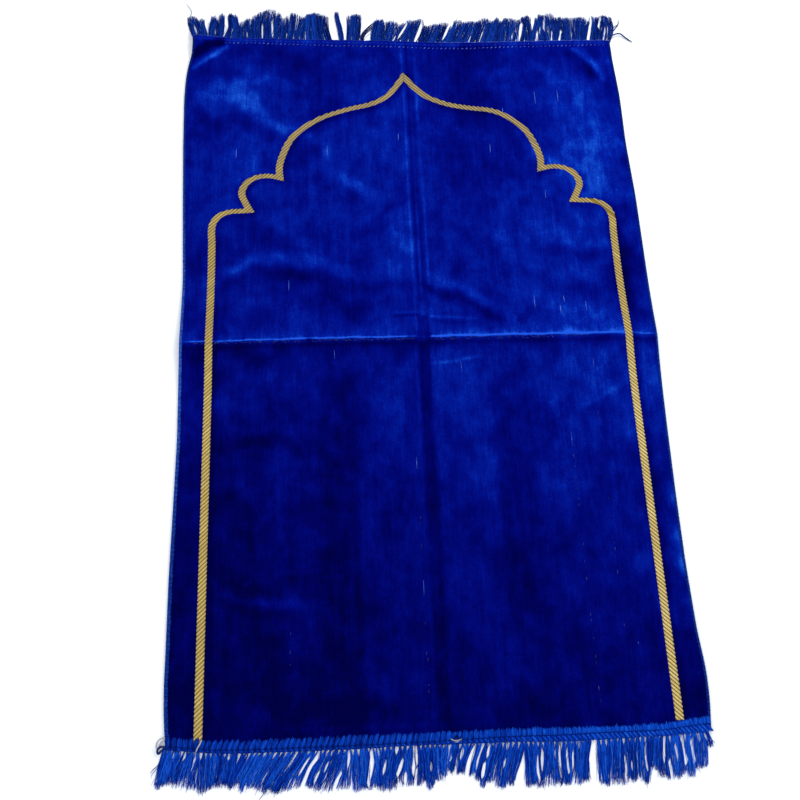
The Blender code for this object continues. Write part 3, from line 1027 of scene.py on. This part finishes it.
def makeSerging(name, sign):
    start, stop = float(endY(sign * 0.35, "front")) + 0.002, float(endY(sign * 0.35, "back"))
    turns = int((stop - start) / serging["pitch"])
    count = turns * serging["pointsPerTurn"]
    turn = np.arange(count + 1) / serging["pointsPerTurn"]
    angle = 2 * np.pi * turn
    y = start + turn * serging["pitch"] + noise.normal(0, serging["wander"], len(turn))
    across, up = (np.sign(wave) * np.abs(wave) ** power
                  for wave, power in zip((np.cos(angle), np.sin(angle)), serging["squareness"]))
    swell = 1 + sum(size * np.sin(turn * pace) for size, pace in serging["swells"])
    width = sergingWidth(y, sign) * swell
    edge = sideX(y, sign) - sign * serging["yarnRadius"]
    x = edge - sign * (width / 2 - width / 2 * across)
    z = (serging["top"] + serging["bottom"]) / 2 + (serging["top"] - serging["bottom"]) / 2 * up
    edging = tubes(name, [np.stack([x, y, z], 1)], serging["yarnRadius"], resolution=1)
    y = readPoints(edging)[:, 1]
    streak, pace = serging["streaks"]
    tone = fromTable(serging, "y", "leftTone" if sign < 0 else "rightTone", y) + streak * np.sin(y * pace)
    edging.data.attributes["strand"].data.foreach_set("value", tone.astype(np.float32))
    lift(edging, clothHeight)
    finish(edging, sergingYarn)
    return edging


sergingLeft = makeSerging("serging_left", -1.0)
sergingRight = makeSerging("serging_right", 1.0)
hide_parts("serged_edge_left")
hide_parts("serged_edge_right")
print("side edges wound")


# the front heading: a row of thick loops over the cloth's end, a sunk line and a slanting chain

heading = {
    "from": 0.001,  # how far in from the rug's sides it starts and ends
    "yarns": 5,
    "yarnRadius": 0.00082,
    "height": 0.0045,
    "footHeight": 0.0026,
    "crown": 0.25,
    # across the rug: where the loops end, the line runs and the strands come out, and how the loops stand
    "x": [-.350, -.318, -.285, -.250, -.120, -.033, .038, .095, .150, .200, .284, .313, .350],
    "top": [-.5385, -.5427, -.5465, -.5470, -.5462, -.5464, -.5465,
            -.5455, -.5470, -.5475, -.5470, -.5440, -.5395],
    "line": [-.5512, -.5545, -.5580, -.5590, -.5590, -.5585, -.5568,
             -.5556, -.5565, -.5554, -.5553, -.5523, -.5492],
    "root": [-.5540, -.5572, -.5606, -.5616, -.5622, -.5605, -.5612,
             -.5614, -.5636, -.5628, -.5615, -.5605, -.5575],
    "pitch": [.0070, .0070, .0070, .0070, .0071, .0072, .0070,
              .0068, .0065, .0061, .0057, .0056, .0056],
    "slant": [-.0010, .0004, .0054, .0056, .0046, .0036, .0014,
              .0004, .0, .0, -.0002, -.0004, -.0006],
    "width": [.84, .88, .88, .88, .90, .91, .96, 1.0, 1.01, 1.03, 1.04, 1.03, 1.03],
    "waist": [.90, .70, .42, .44, .54, .60, .70, .78, .84, .90, .94, .94, .94],
    "shade": [.26, .32, .40, .38, .40, .42, .48, .52, .54, .58, .62, .64, .60],
    "chainStrands": 4,
    "chainSpacing": [.200, .196, .190, .184, .176, .174, .186, .192, .194, .196, .198, .200, .200],
    "chainLean": 0.85,
    "chainRadius": 0.00080,
    "chainHeight": 0.0030,
    "chainRise": 0.0015,
    "chainFall": 0.0010,  # how far it comes down to the root
    "chainArch": 0.0002,  # how much lower the strands beside the middle lie
    # how far in front of the line it starts, and in front of the root it ends
    "chainFrom": 0.0003,
    "chainTo": 0.0011,
    # how thick a yarn is from its start to its end, against its full thickness
    "loopTaper": [(0, .75), (.2, 1.0), (.7, .95), (1, .35)],
    "chainTaper": [(0, .7), (.3, 1.0), (.8, 1.0), (1, .7)],
    # painted highlight and shade: how much lighter the middle of each is than the heading's shade, and how
    # much darker its sides
    "loopLight": (0.10, 0.30),
    "chainLight": (0.08, 0.10),
    "lineHeight": 0.0034,
    "bedRadius": 0.0013,
    "bedHeight": 0.0019,
    # the threads under the chain: how far behind the line each starts, and its share of the way to the root
    "bed": [(0.0034, 0.0), (0.0016, 0.0), (0.0, 0.15), (0.0, 0.5), (0.0, 0.85)],
    # how uneven the loops are, and the yarns within them
    "uneven": {"slant": 0.0004, "shade": 0.06, "width": (0.93, 1.05), "top": 0.0006,
               "yarnX": 0.0002, "yarnTop": 0.0008, "yarnTone": 0.08, "chainX": 0.00015, "chainTone": 0.07},
    "gapAt": 0.0185,  # one loop is missing beside the crease
    "gapReach": 0.0066,
    "gapDepth": 0.0052,
}


def headingAt(column, x):
    return fromTable(heading, "x", column, x)


def makeHeading():
    # each yarn is its line, its thickness along it and its tone
    loops, chain, uneven = [], [], heading["uneven"]
    left, right = (float(sideX(-0.55, sign)) - sign * heading["from"] for sign in (-1, 1))
    along = np.linspace(left, right, 2001)
    passed = np.concatenate([[0.0], np.cumsum(np.diff(along) / headingAt("pitch", along[1:]))])
    units = round(passed[-1])
    for unit in range(units):
        middle = float(np.interp((unit + 0.5) / units * passed[-1], passed, along))
        top, line, root, pitch, slant, width, waist, shade, spacing = (
            float(headingAt(column, middle)) for column in
            ("top", "line", "root", "pitch", "slant", "width", "waist", "shade", "chainSpacing"))
        slant, shade = slant + noise.normal(0, uneven["slant"]), shade + noise.normal(0, uneven["shade"])
        width, top = pitch * width * noise.uniform(*uneven["width"]), top + noise.normal(0, uneven["top"])
        share = np.linspace(0.0, 1.0, 8)
        belly = waist + (1 - waist) * np.sin(np.pi * share) ** 0.6
        light, dark = heading["loopLight"]
        for yarn in range(heading["yarns"]):
            offset = (yarn - (heading["yarns"] - 1) / 2) / heading["yarns"] * width
            x = middle + offset * belly + slant * (share - 0.3) + noise.normal(0, uneven["yarnX"])
            gap = 1 - ((middle + offset - heading["gapAt"]) / heading["gapReach"]) ** 2
            foot = line - 0.0001 + heading["gapDepth"] * max(gap, 0.0)
            y = foot + (top + noise.normal(0, uneven["yarnTop"]) - foot) * share
            crown = 1.0 - heading["crown"] * (offset / width * 2) ** 2
            rise = (heading["height"] - heading["footHeight"]) * np.sin(np.pi * share) ** 0.45 * crown
            thick = np.interp(share, *zip(*heading["loopTaper"]))
            tone = shade + noise.normal(0, uneven["yarnTone"]) + light - dark * (2 * offset / width) ** 2
            loops.append((np.stack([x, y, heading["footHeight"] + rise], 1), thick, tone))
        share = np.linspace(0.0, 1.0, 6)
        light, dark = heading["chainLight"]
        for strand in range(heading["chainStrands"]):
            side = strand - (heading["chainStrands"] - 1) / 2
            x = middle + side * spacing * pitch + noise.normal(0, uneven["chainX"])
            x = x + (share - 0.5) * heading["chainLean"] * (line - root + 0.0006)
            start, stop = line - heading["chainFrom"], root - heading["chainTo"]
            y = start + (stop - start) * share
            z = heading["chainHeight"] + heading["chainRise"] * np.sin(np.pi * share) ** 0.6
            z = z - heading["chainFall"] * share - heading["chainArch"] * side ** 2
            thick = np.interp(share, *zip(*heading["chainTaper"]))
            tone = shade + light + noise.normal(0, uneven["chainTone"]) - dark * side ** 2
            chain.append((np.stack([x, y, z], 1), thick, tone))
    x = np.linspace(left, right, 200)
    line, root = headingAt("line", x), headingAt("root", x)
    sunk = [(np.stack([x, line, np.full(200, heading["lineHeight"])], 1), np.full(200, 0.40))]
    for start, share in heading["bed"]:
        course = np.stack([x, line + start + (root - line) * share, np.full(200, heading["bedHeight"])], 1)
        sunk.append((course, np.full(200, 1.0)))
    return loops, chain, sunk


loops, chain, sunk = makeHeading()
lines, radii, tones = zip(*loops)
frontLoops = tubes("front_heading_loops", lines, heading["yarnRadius"], 1, radii, tones)
lines, radii, tones = zip(*chain)
frontChain = tubes("front_heading_chain", lines, heading["chainRadius"], 1, radii, tones)
lines, radii = zip(*sunk)
frontLine = tubes("front_heading_line", lines, heading["bedRadius"], 1, radii)
for piece, material in ((frontLoops, headingYarn), (frontChain, fringeYarn), (frontLine, shadeYarn)):
    lift(piece, foldHeight)
    finish(piece, material)
print("front heading sewn")


# the fringes, tuft by tuft as they lie

strand = {
    "perMillimetre": 3.7,
    "radius": 0.00042,
    "thickness": (0.8, 1.15),  # against the radius
    "taper": [(0, 1.0), (.8, .95), (1, .45)],
    "layer": (0.0004, 0.0022),  # how high the strands lie over each other
    # painted light and shade: the upper strands lighter, the lower darker
    "layerTone": 90,  # the upper strands are lighter
    "length": 0.0013,
    "tipShort": 0.0004,
    "sideShort": 0.006,  # how much shorter a lock's outer strands may be
    "pinchAt": (-0.35, 0.05, 0.15, 0.35),  # where across the rug each fringe's pinch is given
    "widen": 1.08,
    "sweep": (-0.25, 1.12),  # how the way from the root's place to the tip's sets in and ends
    "sink": (0.0, 0.42),  # where the strands come down to the floor
    "offFolds": (0.1, 0.5),  # where they part from the cloth's folds
    "curl": 0.0010,
    "curlPace": (3, 9),
    "curlStart": (0, 6),
    "shade": 0.08,
    "tone": 0.20,
    # a few thin strands go their own way
    "strayShare": 0.07,
    "strayThickness": (0.45, 0.7),
    "strayLength": (-0.004, 0.005),
    "straySpread": 0.014,
    "strayCurl": 0.0012,
    "strayTone": 0.12,
}

frontFringe = {
    # root from, root to, then the tips from (x, y) to (x, y), and the bow of the tuft, all in millimetres
    "tufts": [
        (-352, -332, -363, -592, -346, -597), (-334, -317, -347, -596, -334, -590),
        (-318, -303, -333, -594, -309, -600), (-304, -286, -304, -611, -290, -604),
        (-288, -261, -291, -605, -266, -599), (-261, -228, -276, -600, -252, -605),
        (-228, -200, -252, -603, -228, -608), (-200, -173, -227, -606, -211, -613),
        (-173, -156, -210, -606, -185, -606), (-156, -142, -179, -604, -166, -608),
        (-142, -122, -166, -609, -141, -611), (-122, -114, -138, -606, -121, -604),
        (-114, -93, -113, -615, -97, -612, 1.0), (-92, -72, -97, -610, -80, -613),
        (-72, -57, -80, -614, -64, -613), (-57, -43, -63, -604, -55, -603),
        (-43, -35, -50, -612, -40, -610), (-35, -16, -33, -609, -16, -613), (-16, -3, -16, -613, -6, -606),
        (-3, 24, -5, -596, 15, -594), (24, 42, 14, -597, 23, -593), (42, 67, 29, -602, 50, -610),
        (67, 86, 50, -611, 70, -612), (86, 107, 70, -612, 87, -615), (103, 129, 104, -613, 122, -613),
        (129, 151, 124, -613, 147, -614), (152, 173, 149, -613, 168, -613),
        (173, 194, 168, -612, 184, -613), (196, 218, 198, -618, 210, -619),
        (218, 233, 210, -618, 227, -617), (233, 249, 231, -614, 246, -614),
        (248, 268, 245, -616, 258, -613), (268, 293, 261, -603, 286, -615),
        (293, 313, 288, -612, 307, -611), (313, 330, 309, -611, 325, -608),
        (330, 339, 326, -602, 336, -605), (336, 343, 340, -581, 345, -577),
    ],
    "seed": 3,
    "lock": 0.0070,
    "rootHeight": 0.0022,
    "tuck": 0.0010,  # how far under the heading the strands start
    "pinch": (0.24, 0.22, 0.40, 0.44),  # how narrow each lock is at its root, from the left to the right
    "slit": (0.20, 0.44),  # where the gap between two locks closes, as a share of their length
    "spreads": (1.3, 1.7, 2.1, 2.5),
    "ragged": 0.0030,
    "bow": 0.0012,
    "wander": 0.20,
    # open gaps between the strands: width, then the places each runs through
    "partings": [
        (1.6, (-339, -555), (-339, -569)), (2.0, (-331, -555), (-331, -563)),
        (2.8, (-324, -555), (-325, -569)), (2.8, (-310.5, -556), (-312, -568), (-317, -583)),
        (2.4, (-317, -584), (-324, -591)), (2.6, (-304, -556), (-304, -570)),
        (2.6, (-268, -559), (-272, -573)), (2.2, (-247, -561), (-249, -570)),
        (2.2, (-225, -560), (-227, -571)), (1.6, (-185, -562), (-190, -574), (-195, -584)),
        (3, (-167, -567), (-175, -579), (-182, -592)),
        (5, (-156, -559), (-157, -571), (-167, -581), (-181, -606)), (3.6, (-155, -584), (-164, -602)),
        (3, (-145, -574), (-151, -592)), (2.6, (-140, -560), (-142, -573)),
        (3.6, (-120, -560), (-119, -574), (-121, -586)), (5, (-125, -586), (-134, -597), (-141, -612)),
        (5.5, (-92.5, -562), (-89.5, -579), (-93, -594), (-98, -609)), (3.0, (-83, -560), (-81, -573)),
        (3.4, (-72, -578), (-78, -596)), (3.2, (-58, -559), (-59, -572)),
        (5.0, (-50, -576), (-55, -588), (-62, -600)), (4.5, (-47, -590), (-51, -608)),
        (3.2, (-35, -559), (-33.5, -572), (-34.5, -591)), (3.6, (-38, -582), (-40, -596)),
        (3.4, (-35, -588), (-36, -602), (-37, -618)), (4.0, (-16, -583), (-16, -594)),
        (3.0, (3, -558), (-1, -568)), (2.6, (10, -575), (8, -584)), (4, (27, -565), (21, -583)),
        (6.5, (43, -560), (37, -575), (31, -588), (26, -603)), (3.6, (59, -564), (56, -582)),
        (5, (52, -583), (48, -606)), (2, (71, -560), (66, -571)), (2, (83, -560), (80, -573)),
        (2.6, (78, -580), (76, -594)), (4, (121, -575), (119, -596), (121, -613)),
        (4, (128, -570), (125, -588), (124, -602)), (2.4, (143, -569), (143, -588)),
        (4, (150, -564), (147.5, -585), (148, -612)), (2.4, (158, -569), (157, -585), (160, -604)),
        (2.6, (165, -576), (165, -598)), (3.0, (175, -560), (175, -572)),
        (5.5, (195, -562), (193, -580), (191, -614)), (3.8, (231, -582), (232, -600), (229, -618)),
        (2.6, (240, -589), (239, -604)), (2.4, (259, -572), (258, -588), (261, -609)),
        (3.0, (297, -570), (301, -595)), (3.6, (287, -589), (291, -616)),
        (2.4, (305, -559), (309, -578), (314, -598)), (3.0, (318, -568), (323, -598)),
        (2.0, (329, -557), (334, -573)), (3.0, (337, -560), (342, -570)),
    ],
}

backFringe = {
    "tufts": [
        (-350, -324, -357, 609, -335, 604), (-325, -301, -319, 609, -304, 616),
        (-303, -270, -294, 616, -279, 613, 2.5), (-272, -250, -267, 601, -252, 606),
        (-250, -228, -248, 613, -226, 626), (-228, -197, -226, 625, -192, 600),
        (-197, -181, -195, 616, -176, 613, 1.5), (-181, -142, -168, 611, -149, 616, -1.5),
        (-144, -117, -150, 616, -130, 614, -4.0), (-108, -98, -115, 619, -109, 619),
        (-97, -76, -89, 612, -73, 614), (-73, -69, -47, 600, -41, 606, -10.0),
        (-58, -36, -46, 602, -32, 607, -1.0), (-38, -12, -30, 598, 8, 596), (-10, 18, 8, 597, 27, 603),
        (20, 62, 35, 592, 80, 598), (64, 124, 84, 598, 140, 605), (124, 187, 142, 605, 191, 604),
        (189, 214, 199, 606, 215, 611), (212, 247, 226, 606, 241, 613, -1.5),
        (247, 285, 246, 611, 286, 609), (285, 309, 290, 609, 318, 609), (311, 334, 323, 609, 339, 609),
        (334, 349, 342, 610, 354, 610),
    ],
    "seed": 5,
    "lock": 0.0064,
    "rootHeight": 0.0012,
    "tuck": 0.0018,  # how far under the cloth the strands start
    "pinch": (0.50, 0.50, 0.50, 0.50),
    "slit": (0.14, 0.36),
    "spreads": (1.6, 2.0, 2.4, 2.8),
    "ragged": 0.0030,
    "bow": 0.0012,
    "wander": 0.22,
    "partings": [
        (2.8, (-342, 570), (-346, 584), (-351, 598)), (2.0, (-313, 568), (-314, 586)),
        (3.0, (-235, 566), (-236, 584), (-236, 600)), (3.2, (-218, 566), (-219, 588), (-222, 606)),
        (2.0, (-260, 566), (-262, 582)), (2.0, (-196, 564), (-195, 580)), (2.0, (-184, 562), (-184, 574)),
        (2.2, (-164, 560), (-165, 586)), (1.6, (-174, 560), (-174, 572)), (2.0, (-131, 558), (-137, 580)),
        (1.6, (-88, 557), (-87, 576)), (4.5, (-13, 560), (-2, 580), (9, 598)),
        (2.6, (-22, 556), (-12, 572)), (6.0, (16, 556), (25, 576), (34, 598)),
        (4.6, (64, 560), (75, 586), (84, 602)), (2.0, (106, 549), (113, 572)),
        (2.2, (115, 549), (122, 566)), (2.0, (124, 549), (132, 574), (140, 596)),
        (1.6, (174, 553), (183, 578)), (3.0, (180, 560), (186, 580)),
        (6.0, (189, 553), (197, 577), (204, 600)), (3.4, (220, 556), (224, 566), (229, 578)),
        (2.4, (229, 574), (234, 592)), (4.0, (236, 578), (240, 598), (242, 614)),
        (1.8, (246, 553), (253, 580)), (2.2, (259, 556), (265, 572), (272, 584)),
        (1.6, (281, 556), (287, 580)), (4.6, (308, 554), (315, 578), (321, 598), (322, 612)),
        (3.0, (329, 584), (336, 600), (341, 612)), (2.8, (335, 556), (340, 570), (345, 584)),
    ],
}


def openPartings(strands, strays, partings):
    # each strand but the strays lies wholly to one side of a gap
    for width, *course in partings:
        course = np.array(sorted(course, key=lambda place: place[1])) / 1000
        x, y = strands[..., 0], strands[..., 1]
        away = x - np.interp(y, course[:, 1], course[:, 0])
        share = np.clip((y - course[0, 1]) / (course[-1, 1] - course[0, 1]), 0.0, 1.0)
        half = width / 2000 * np.sin(np.pi * share) ** 0.5
        side = np.where((away * half).sum(axis=1) < 0, -1.0, 1.0)[:, None]
        near = (away * side < 4 * half) & (half > 0.00005) & (np.abs(away) < 0.007) & ~strays[:, None]
        x += side * np.where(near, half + 0.75 * np.maximum(away * side, 0.0) - away * side, 0.0)


def makeFringe(name, fringe, end):
    sign = 1.0 if end == "back" else -1.0
    lines, radii, tones, strays = [], [], [], []
    share = np.linspace(0.0, 1.0, 9)
    for number, tuft in enumerate(fringe["tufts"]):
        chance = np.random.default_rng([fringe["seed"], number])
        rootFrom, rootTo, tipFromX, tipFromY, tipToX, tipToY, lean = (
            value / 1000 for value in (*tuft, 0)[:7])
        locks = max(1, round((rootTo - rootFrom) / fringe["lock"]))
        rootWidth, tipWidth = (rootTo - rootFrom) / locks, (tipToX - tipFromX) / locks
        for lock in range(locks):
            middle = (lock + 0.5) / locks
            lockX = rootFrom + (rootTo - rootFrom) * middle
            edge = endY(lockX, end) if end == "back" else headingAt("root", lockX)
            rootY = edge - sign * fringe["tuck"]
            tipX = tipFromX + (tipToX - tipFromX) * middle
            tipX += chance.normal(0, fringe["wander"]) * fringe["lock"]
            tipY = tipFromY + (tipToY - tipFromY) * middle
            tipY -= sign * chance.normal(strand["tipShort"], fringe["ragged"])
            bow, shade = lean + chance.normal(0, fringe["bow"]), chance.normal(0.5, strand["shade"])
            slit, spread = chance.uniform(*fringe["slit"]), chance.choice(fringe["spreads"])
            pinch = np.interp(lockX, strand["pinchAt"], fringe["pinch"])
            count = int(rootWidth * 1000 * strand["perMillimetre"])
            for across in (np.arange(count) + chance.uniform(0, 1, count)) / count - 0.5:
                stray = chance.uniform() < strand["strayShare"]
                longer = chance.normal(0, strand["length"])
                longer -= 4 * across ** 2 * chance.uniform(0, strand["sideShort"])
                longer += stray * chance.uniform(*strand["strayLength"])
                width = rootWidth * (pinch + (strand["widen"] - pinch) * smoothStep(0.0, slit, share))
                width = width * (1 - share) + (tipWidth * spread + stray * strand["straySpread"]) * share
                x = lockX + (tipX - lockX) * smoothStep(*strand["sweep"], share) + width * across
                x = x + bow * np.sin(np.pi * share)
                curl = (strand["curl"] + strand["strayCurl"] * stray) * chance.normal(0, 1)
                pace, start = chance.uniform(*strand["curlPace"]), chance.uniform(*strand["curlStart"])
                x += curl * np.sin(share * pace + start) * share
                y = rootY + (tipY + sign * longer - rootY) * share
                layer = chance.uniform(*strand["layer"])
                z = layer + (fringe["rootHeight"] - layer) * (1 - smoothStep(*strand["sink"], share))
                z = z + foldHeight(x, np.full(len(x), rootY)) * (1 - smoothStep(*strand["offFolds"], share))
                lines.append(np.stack([x, y, z], 1))
                thick = chance.uniform(*strand["strayThickness" if stray else "thickness"])
                radii.append(thick * np.interp(share, *zip(*strand["taper"])))
                tone = shade + chance.normal(0, strand["tone"]) + strand["strayTone"] * stray
                tones.append(tone + (layer - sum(strand["layer"]) / 2) * strand["layerTone"])
                strays.append(stray)
    strands = np.array(lines)
    openPartings(strands, np.array(strays), fringe["partings"])
    return tubes(name, strands, strand["radius"], 0, radii, tones)


frontStrands = makeFringe("front_fringe_strands", frontFringe, "front")
finish(frontStrands, fringeYarn)
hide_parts("fringe_front")
backStrands = makeFringe("back_fringe_strands", backFringe, "back")
finish(backStrands, backYarn)
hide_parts("fringe_back")
print("fringes laid:", len(frontStrands.data.polygons), len(backStrands.data.polygons), "faces")


# the sewing along the back end

backSewing = {
    "from": -0.296,
    "to": 0.338,
    # x, how far in from the back edge the stitches run
    "x": [-.300, -.235, -.170, -.107, -.024, .026, .060, .110, .160, .228, .262, .330],
    "inset": [.0102, .0094, .0106, .0116, .0114, .0122, .0120, .0124, .0110, .0112, .0108, .0098],
    "stitchPitch": 0.0070,
    "stitchLength": 0.0034,
    "stitchSlant": 38.0,
    "stitchRadius": 0.00080,
    "stitchHeight": 0.0030,
    "stitchArch": [-.0006, .0002, .0005, .0002, -.0006],  # its height from its start to its end
    # how uneven the stitches are
    "uneven": {"length": (0.8, 1.1), "slant": 12, "place": 0.0002, "tone": 0.14},
    # each row: its share of the inset, tone, and length and thickness against the usual
    "rows": [(1.0, 0.58, 1.0), (0.46, 0.16, 0.8)],
    "edgeRadius": 0.00070,
    "edgeHeight": 0.0026,
    # the thread along the edge: from, to, tone
    "edge": [(-0.3475, -0.290, 0.45), (-0.290, 0.060, 0.30), (0.060, 0.3465, 0.75)],
}


def makeBackStitches():
    stitches, tones, uneven = [], [], backSewing["uneven"]
    for share, tone, size in backSewing["rows"]:
        for x in np.arange(backSewing["from"], backSewing["to"], backSewing["stitchPitch"]):
            half = backSewing["stitchLength"] / 2 * noise.uniform(*uneven["length"]) * size
            run = np.array([-1.0, -0.6, 0.0, 0.6, 1.0]) * half
            slant = math.radians(backSewing["stitchSlant"] + noise.normal(0, uneven["slant"]))
            inset = fromTable(backSewing, "x", "inset", x) * share
            y = endY(x + run, "back") - inset + run * math.sin(slant) + noise.normal(0, uneven["place"])
            z = backSewing["stitchHeight"] + np.array(backSewing["stitchArch"])
            stitches.append(np.stack([x + run * math.cos(slant), y, z], 1))
            tones.append(tone + noise.normal(0, uneven["tone"]))
    return tubes("back_stitches", stitches, backSewing["stitchRadius"], 1, None, tones)


def makeBackEdge():
    lines, tones = [], []
    for start, stop, tone in backSewing["edge"]:
        x = np.linspace(start, stop, 200)
        wander = 0.0004 + 0.00035 * np.sin(x * 310) + 0.0002 * np.sin(x * 873)
        z = backSewing["edgeHeight"] + 0.0003 * np.sin(x * 500)
        lines.append(np.stack([x, endY(x, "back") + wander, z], 1))
        tones.append(tone)
    return tubes("back_edge_thread", lines, backSewing["edgeRadius"], 1, None, tones)


backStitches = makeBackStitches()
backEdge = makeBackEdge()
for piece in (backStitches, backEdge):
    lift(piece, clothHeight)
    finish(piece, paleThread)
print("back end sewn")


# pale ends of yarn that show through the pile, and threads that hang loose

flecks = {
    "radius": 0.00034,
    "height": 0.0034,
    # where each lies, then its length, in millimetres
    "long": [
        (209, 440, 26), (247, 443, 24), (154, 414, 12), (-132, 340, 18), (128, 341, 16), (174, 64, 22),
        (212, 50, 14), (219, 68, 12), (251, 55, 18), (209, 255, 16), (-18, 365, 14), (-275, 337, 18),
        (-193, 100, 18), (208, -155, 22), (-127, -17, 14), (-15, -185, 18), (-14, -361, 20), (57, -38, 16),
        (252, -38, 14), (267, -444, 3),
    ],
    # broken lines: place across, from, to, how much of each is there
    "broken": [
        (208, -180, -520, .40), (-193, -280, -470, .28), (251, -60, -430, .22), (-14, -200, -500, .20),
    ],
    "brokenPitch": 8.0,
    # worn threads in front of the fold's crest: how far behind it, from, to, how much of each is there
    "crest": [(-2.0, -336, -8, .64), (-2.2, 16, 250, .60), (-3.8, -300, -20, .22), (-4.4, 18, 200, .30)],
    "crestPitch": 3.4,
}

looseThreads = {
    # radius, then places (x, y, height), in millimetres
    "blue": [
        (1.25, (347, 562, 3), (357, 569, 4), (366.5, 571, 3), (374, 565, 1.8), (380, 559.5, 1.4),
         (386.4, 554, 1.2)),
        (1.0, (346, 560, 1), (351, 568, 2), (356, 578, 1.4), (362, 586, 1), (366, 592, 1), (368, 602, 1)),
        (.70, (347, 563, 1), (350, 574, 2), (355, 583, 1.4), (361, 589, 1), (366, 593, 1)),
        (.50, (-351, -552, 2), (-354, -561, 1), (-359, -574, 1), (-363, -577, 1), (-367, -582, 1)),
        (1.5, (-349, -552, 3), (-355, -551, 4), (-359, -555, 3), (-358, -559, 2), (-354, -556, 3),
         (-351, -552, 3)),
        (.40, (-222, -600, 1), (-226, -611, 1), (-232, -618, 1)),
    ],
    "grey": [
        (1.1, (-350, -541, 3), (-354, -541, 5), (-358, -544, 6), (-360, -549, 5), (-359, -553, 3),
         (-356, -554, 2)),
        (.90, (-350, -544, 3), (-354, -545, 4), (-356, -549, 4), (-357, -553, 3)),
        (.55, (-357, 606, 1), (-355, 614, 2), (-354, 622, 2), (-358, 631, 1.4), (-364, 641, 1)),
        (.90, (-304, -545, 4.6), (-306, -550, 5.4), (-309, -555, 5), (-311, -560, 3.6)),
        (.70, (10, -555, 3.4), (14, -557.5, 4.6), (19, -558, 4.8), (25, -556, 3.6)),
        (.55, (11, -558, 3), (17, -559.5, 4.2), (24, -558.5, 3.4)),
    ],
}


def fleckLines(spots):
    # short flat threads, each given by its middle and its run both ways
    along, lines = np.array([-0.5, 0.0, 0.5]), []
    for x, y, runX, runY in spots:
        course = np.stack([x + along * runX, y + along * runY], 1) / 1000
        lines.append(np.column_stack([course, np.full(3, flecks["height"])]))
    return lines, [[0.4, 1.0, 0.4]] * len(lines)


def makePaleFlecks():
    spots = [(x, y, noise.normal(0, 0.3), length) for x, y, length in flecks["long"]]
    # painted light: the flecks on the back half of the fold are lighter, where the pile is lit more
    tones = [noise.normal(0.80 if y > 0 else 0.50, 0.06) for x, y, runX, runY in spots]
    lines, radii = fleckLines(spots)
    return tubes("pale_flecks", lines, flecks["radius"], 0, radii, tones)


def makeWornFlecks():
    spots = []
    for x, start, stop, share in flecks["broken"]:
        spots += [(x + noise.normal(0, 0.5), y, 0, noise.uniform(2, 6))
                  for y in np.arange(start, stop, -flecks["brokenPitch"]) if noise.uniform() < share]
    for offset, start, stop, share in flecks["crest"]:
        spots += [(x, ridgeAt("y", x / 1000) * 1000 + offset + noise.normal(0, 0.3),
                   noise.uniform(1.5, 4.5), noise.normal(0, 0.3))
                  for x in np.arange(start, stop, flecks["crestPitch"]) if noise.uniform() < share]
    lines, radii = fleckLines(spots)
    return tubes("worn_flecks", lines, flecks["radius"], 0, radii)


def makeLoose(name, threads):
    lines, radii = [], []
    for radius, *course in threads:
        line = smoothLine(np.array(course) / 1000, 0.0015)
        lines.append(line)
        radii.append(radius * np.interp(np.linspace(0, 1, len(line)), [0, 0.8, 1], [1, 0.9, 0.4]))
    return tubes(name, lines, 0.001, 1, radii)


paleFlecks = makePaleFlecks()
wornFlecks = makeWornFlecks()
for piece, material in ((paleFlecks, fleckThread), (wornFlecks, wornThread)):
    lift(piece, clothHeight)
    finish(piece, material)
looseBlue = makeLoose("loose_blue_threads", looseThreads["blue"])
finish(looseBlue, looseYarn)
looseGrey = makeLoose("loose_grey_threads", looseThreads["grey"])
finish(looseGrey, greyYarn)
print("loose threads laid")
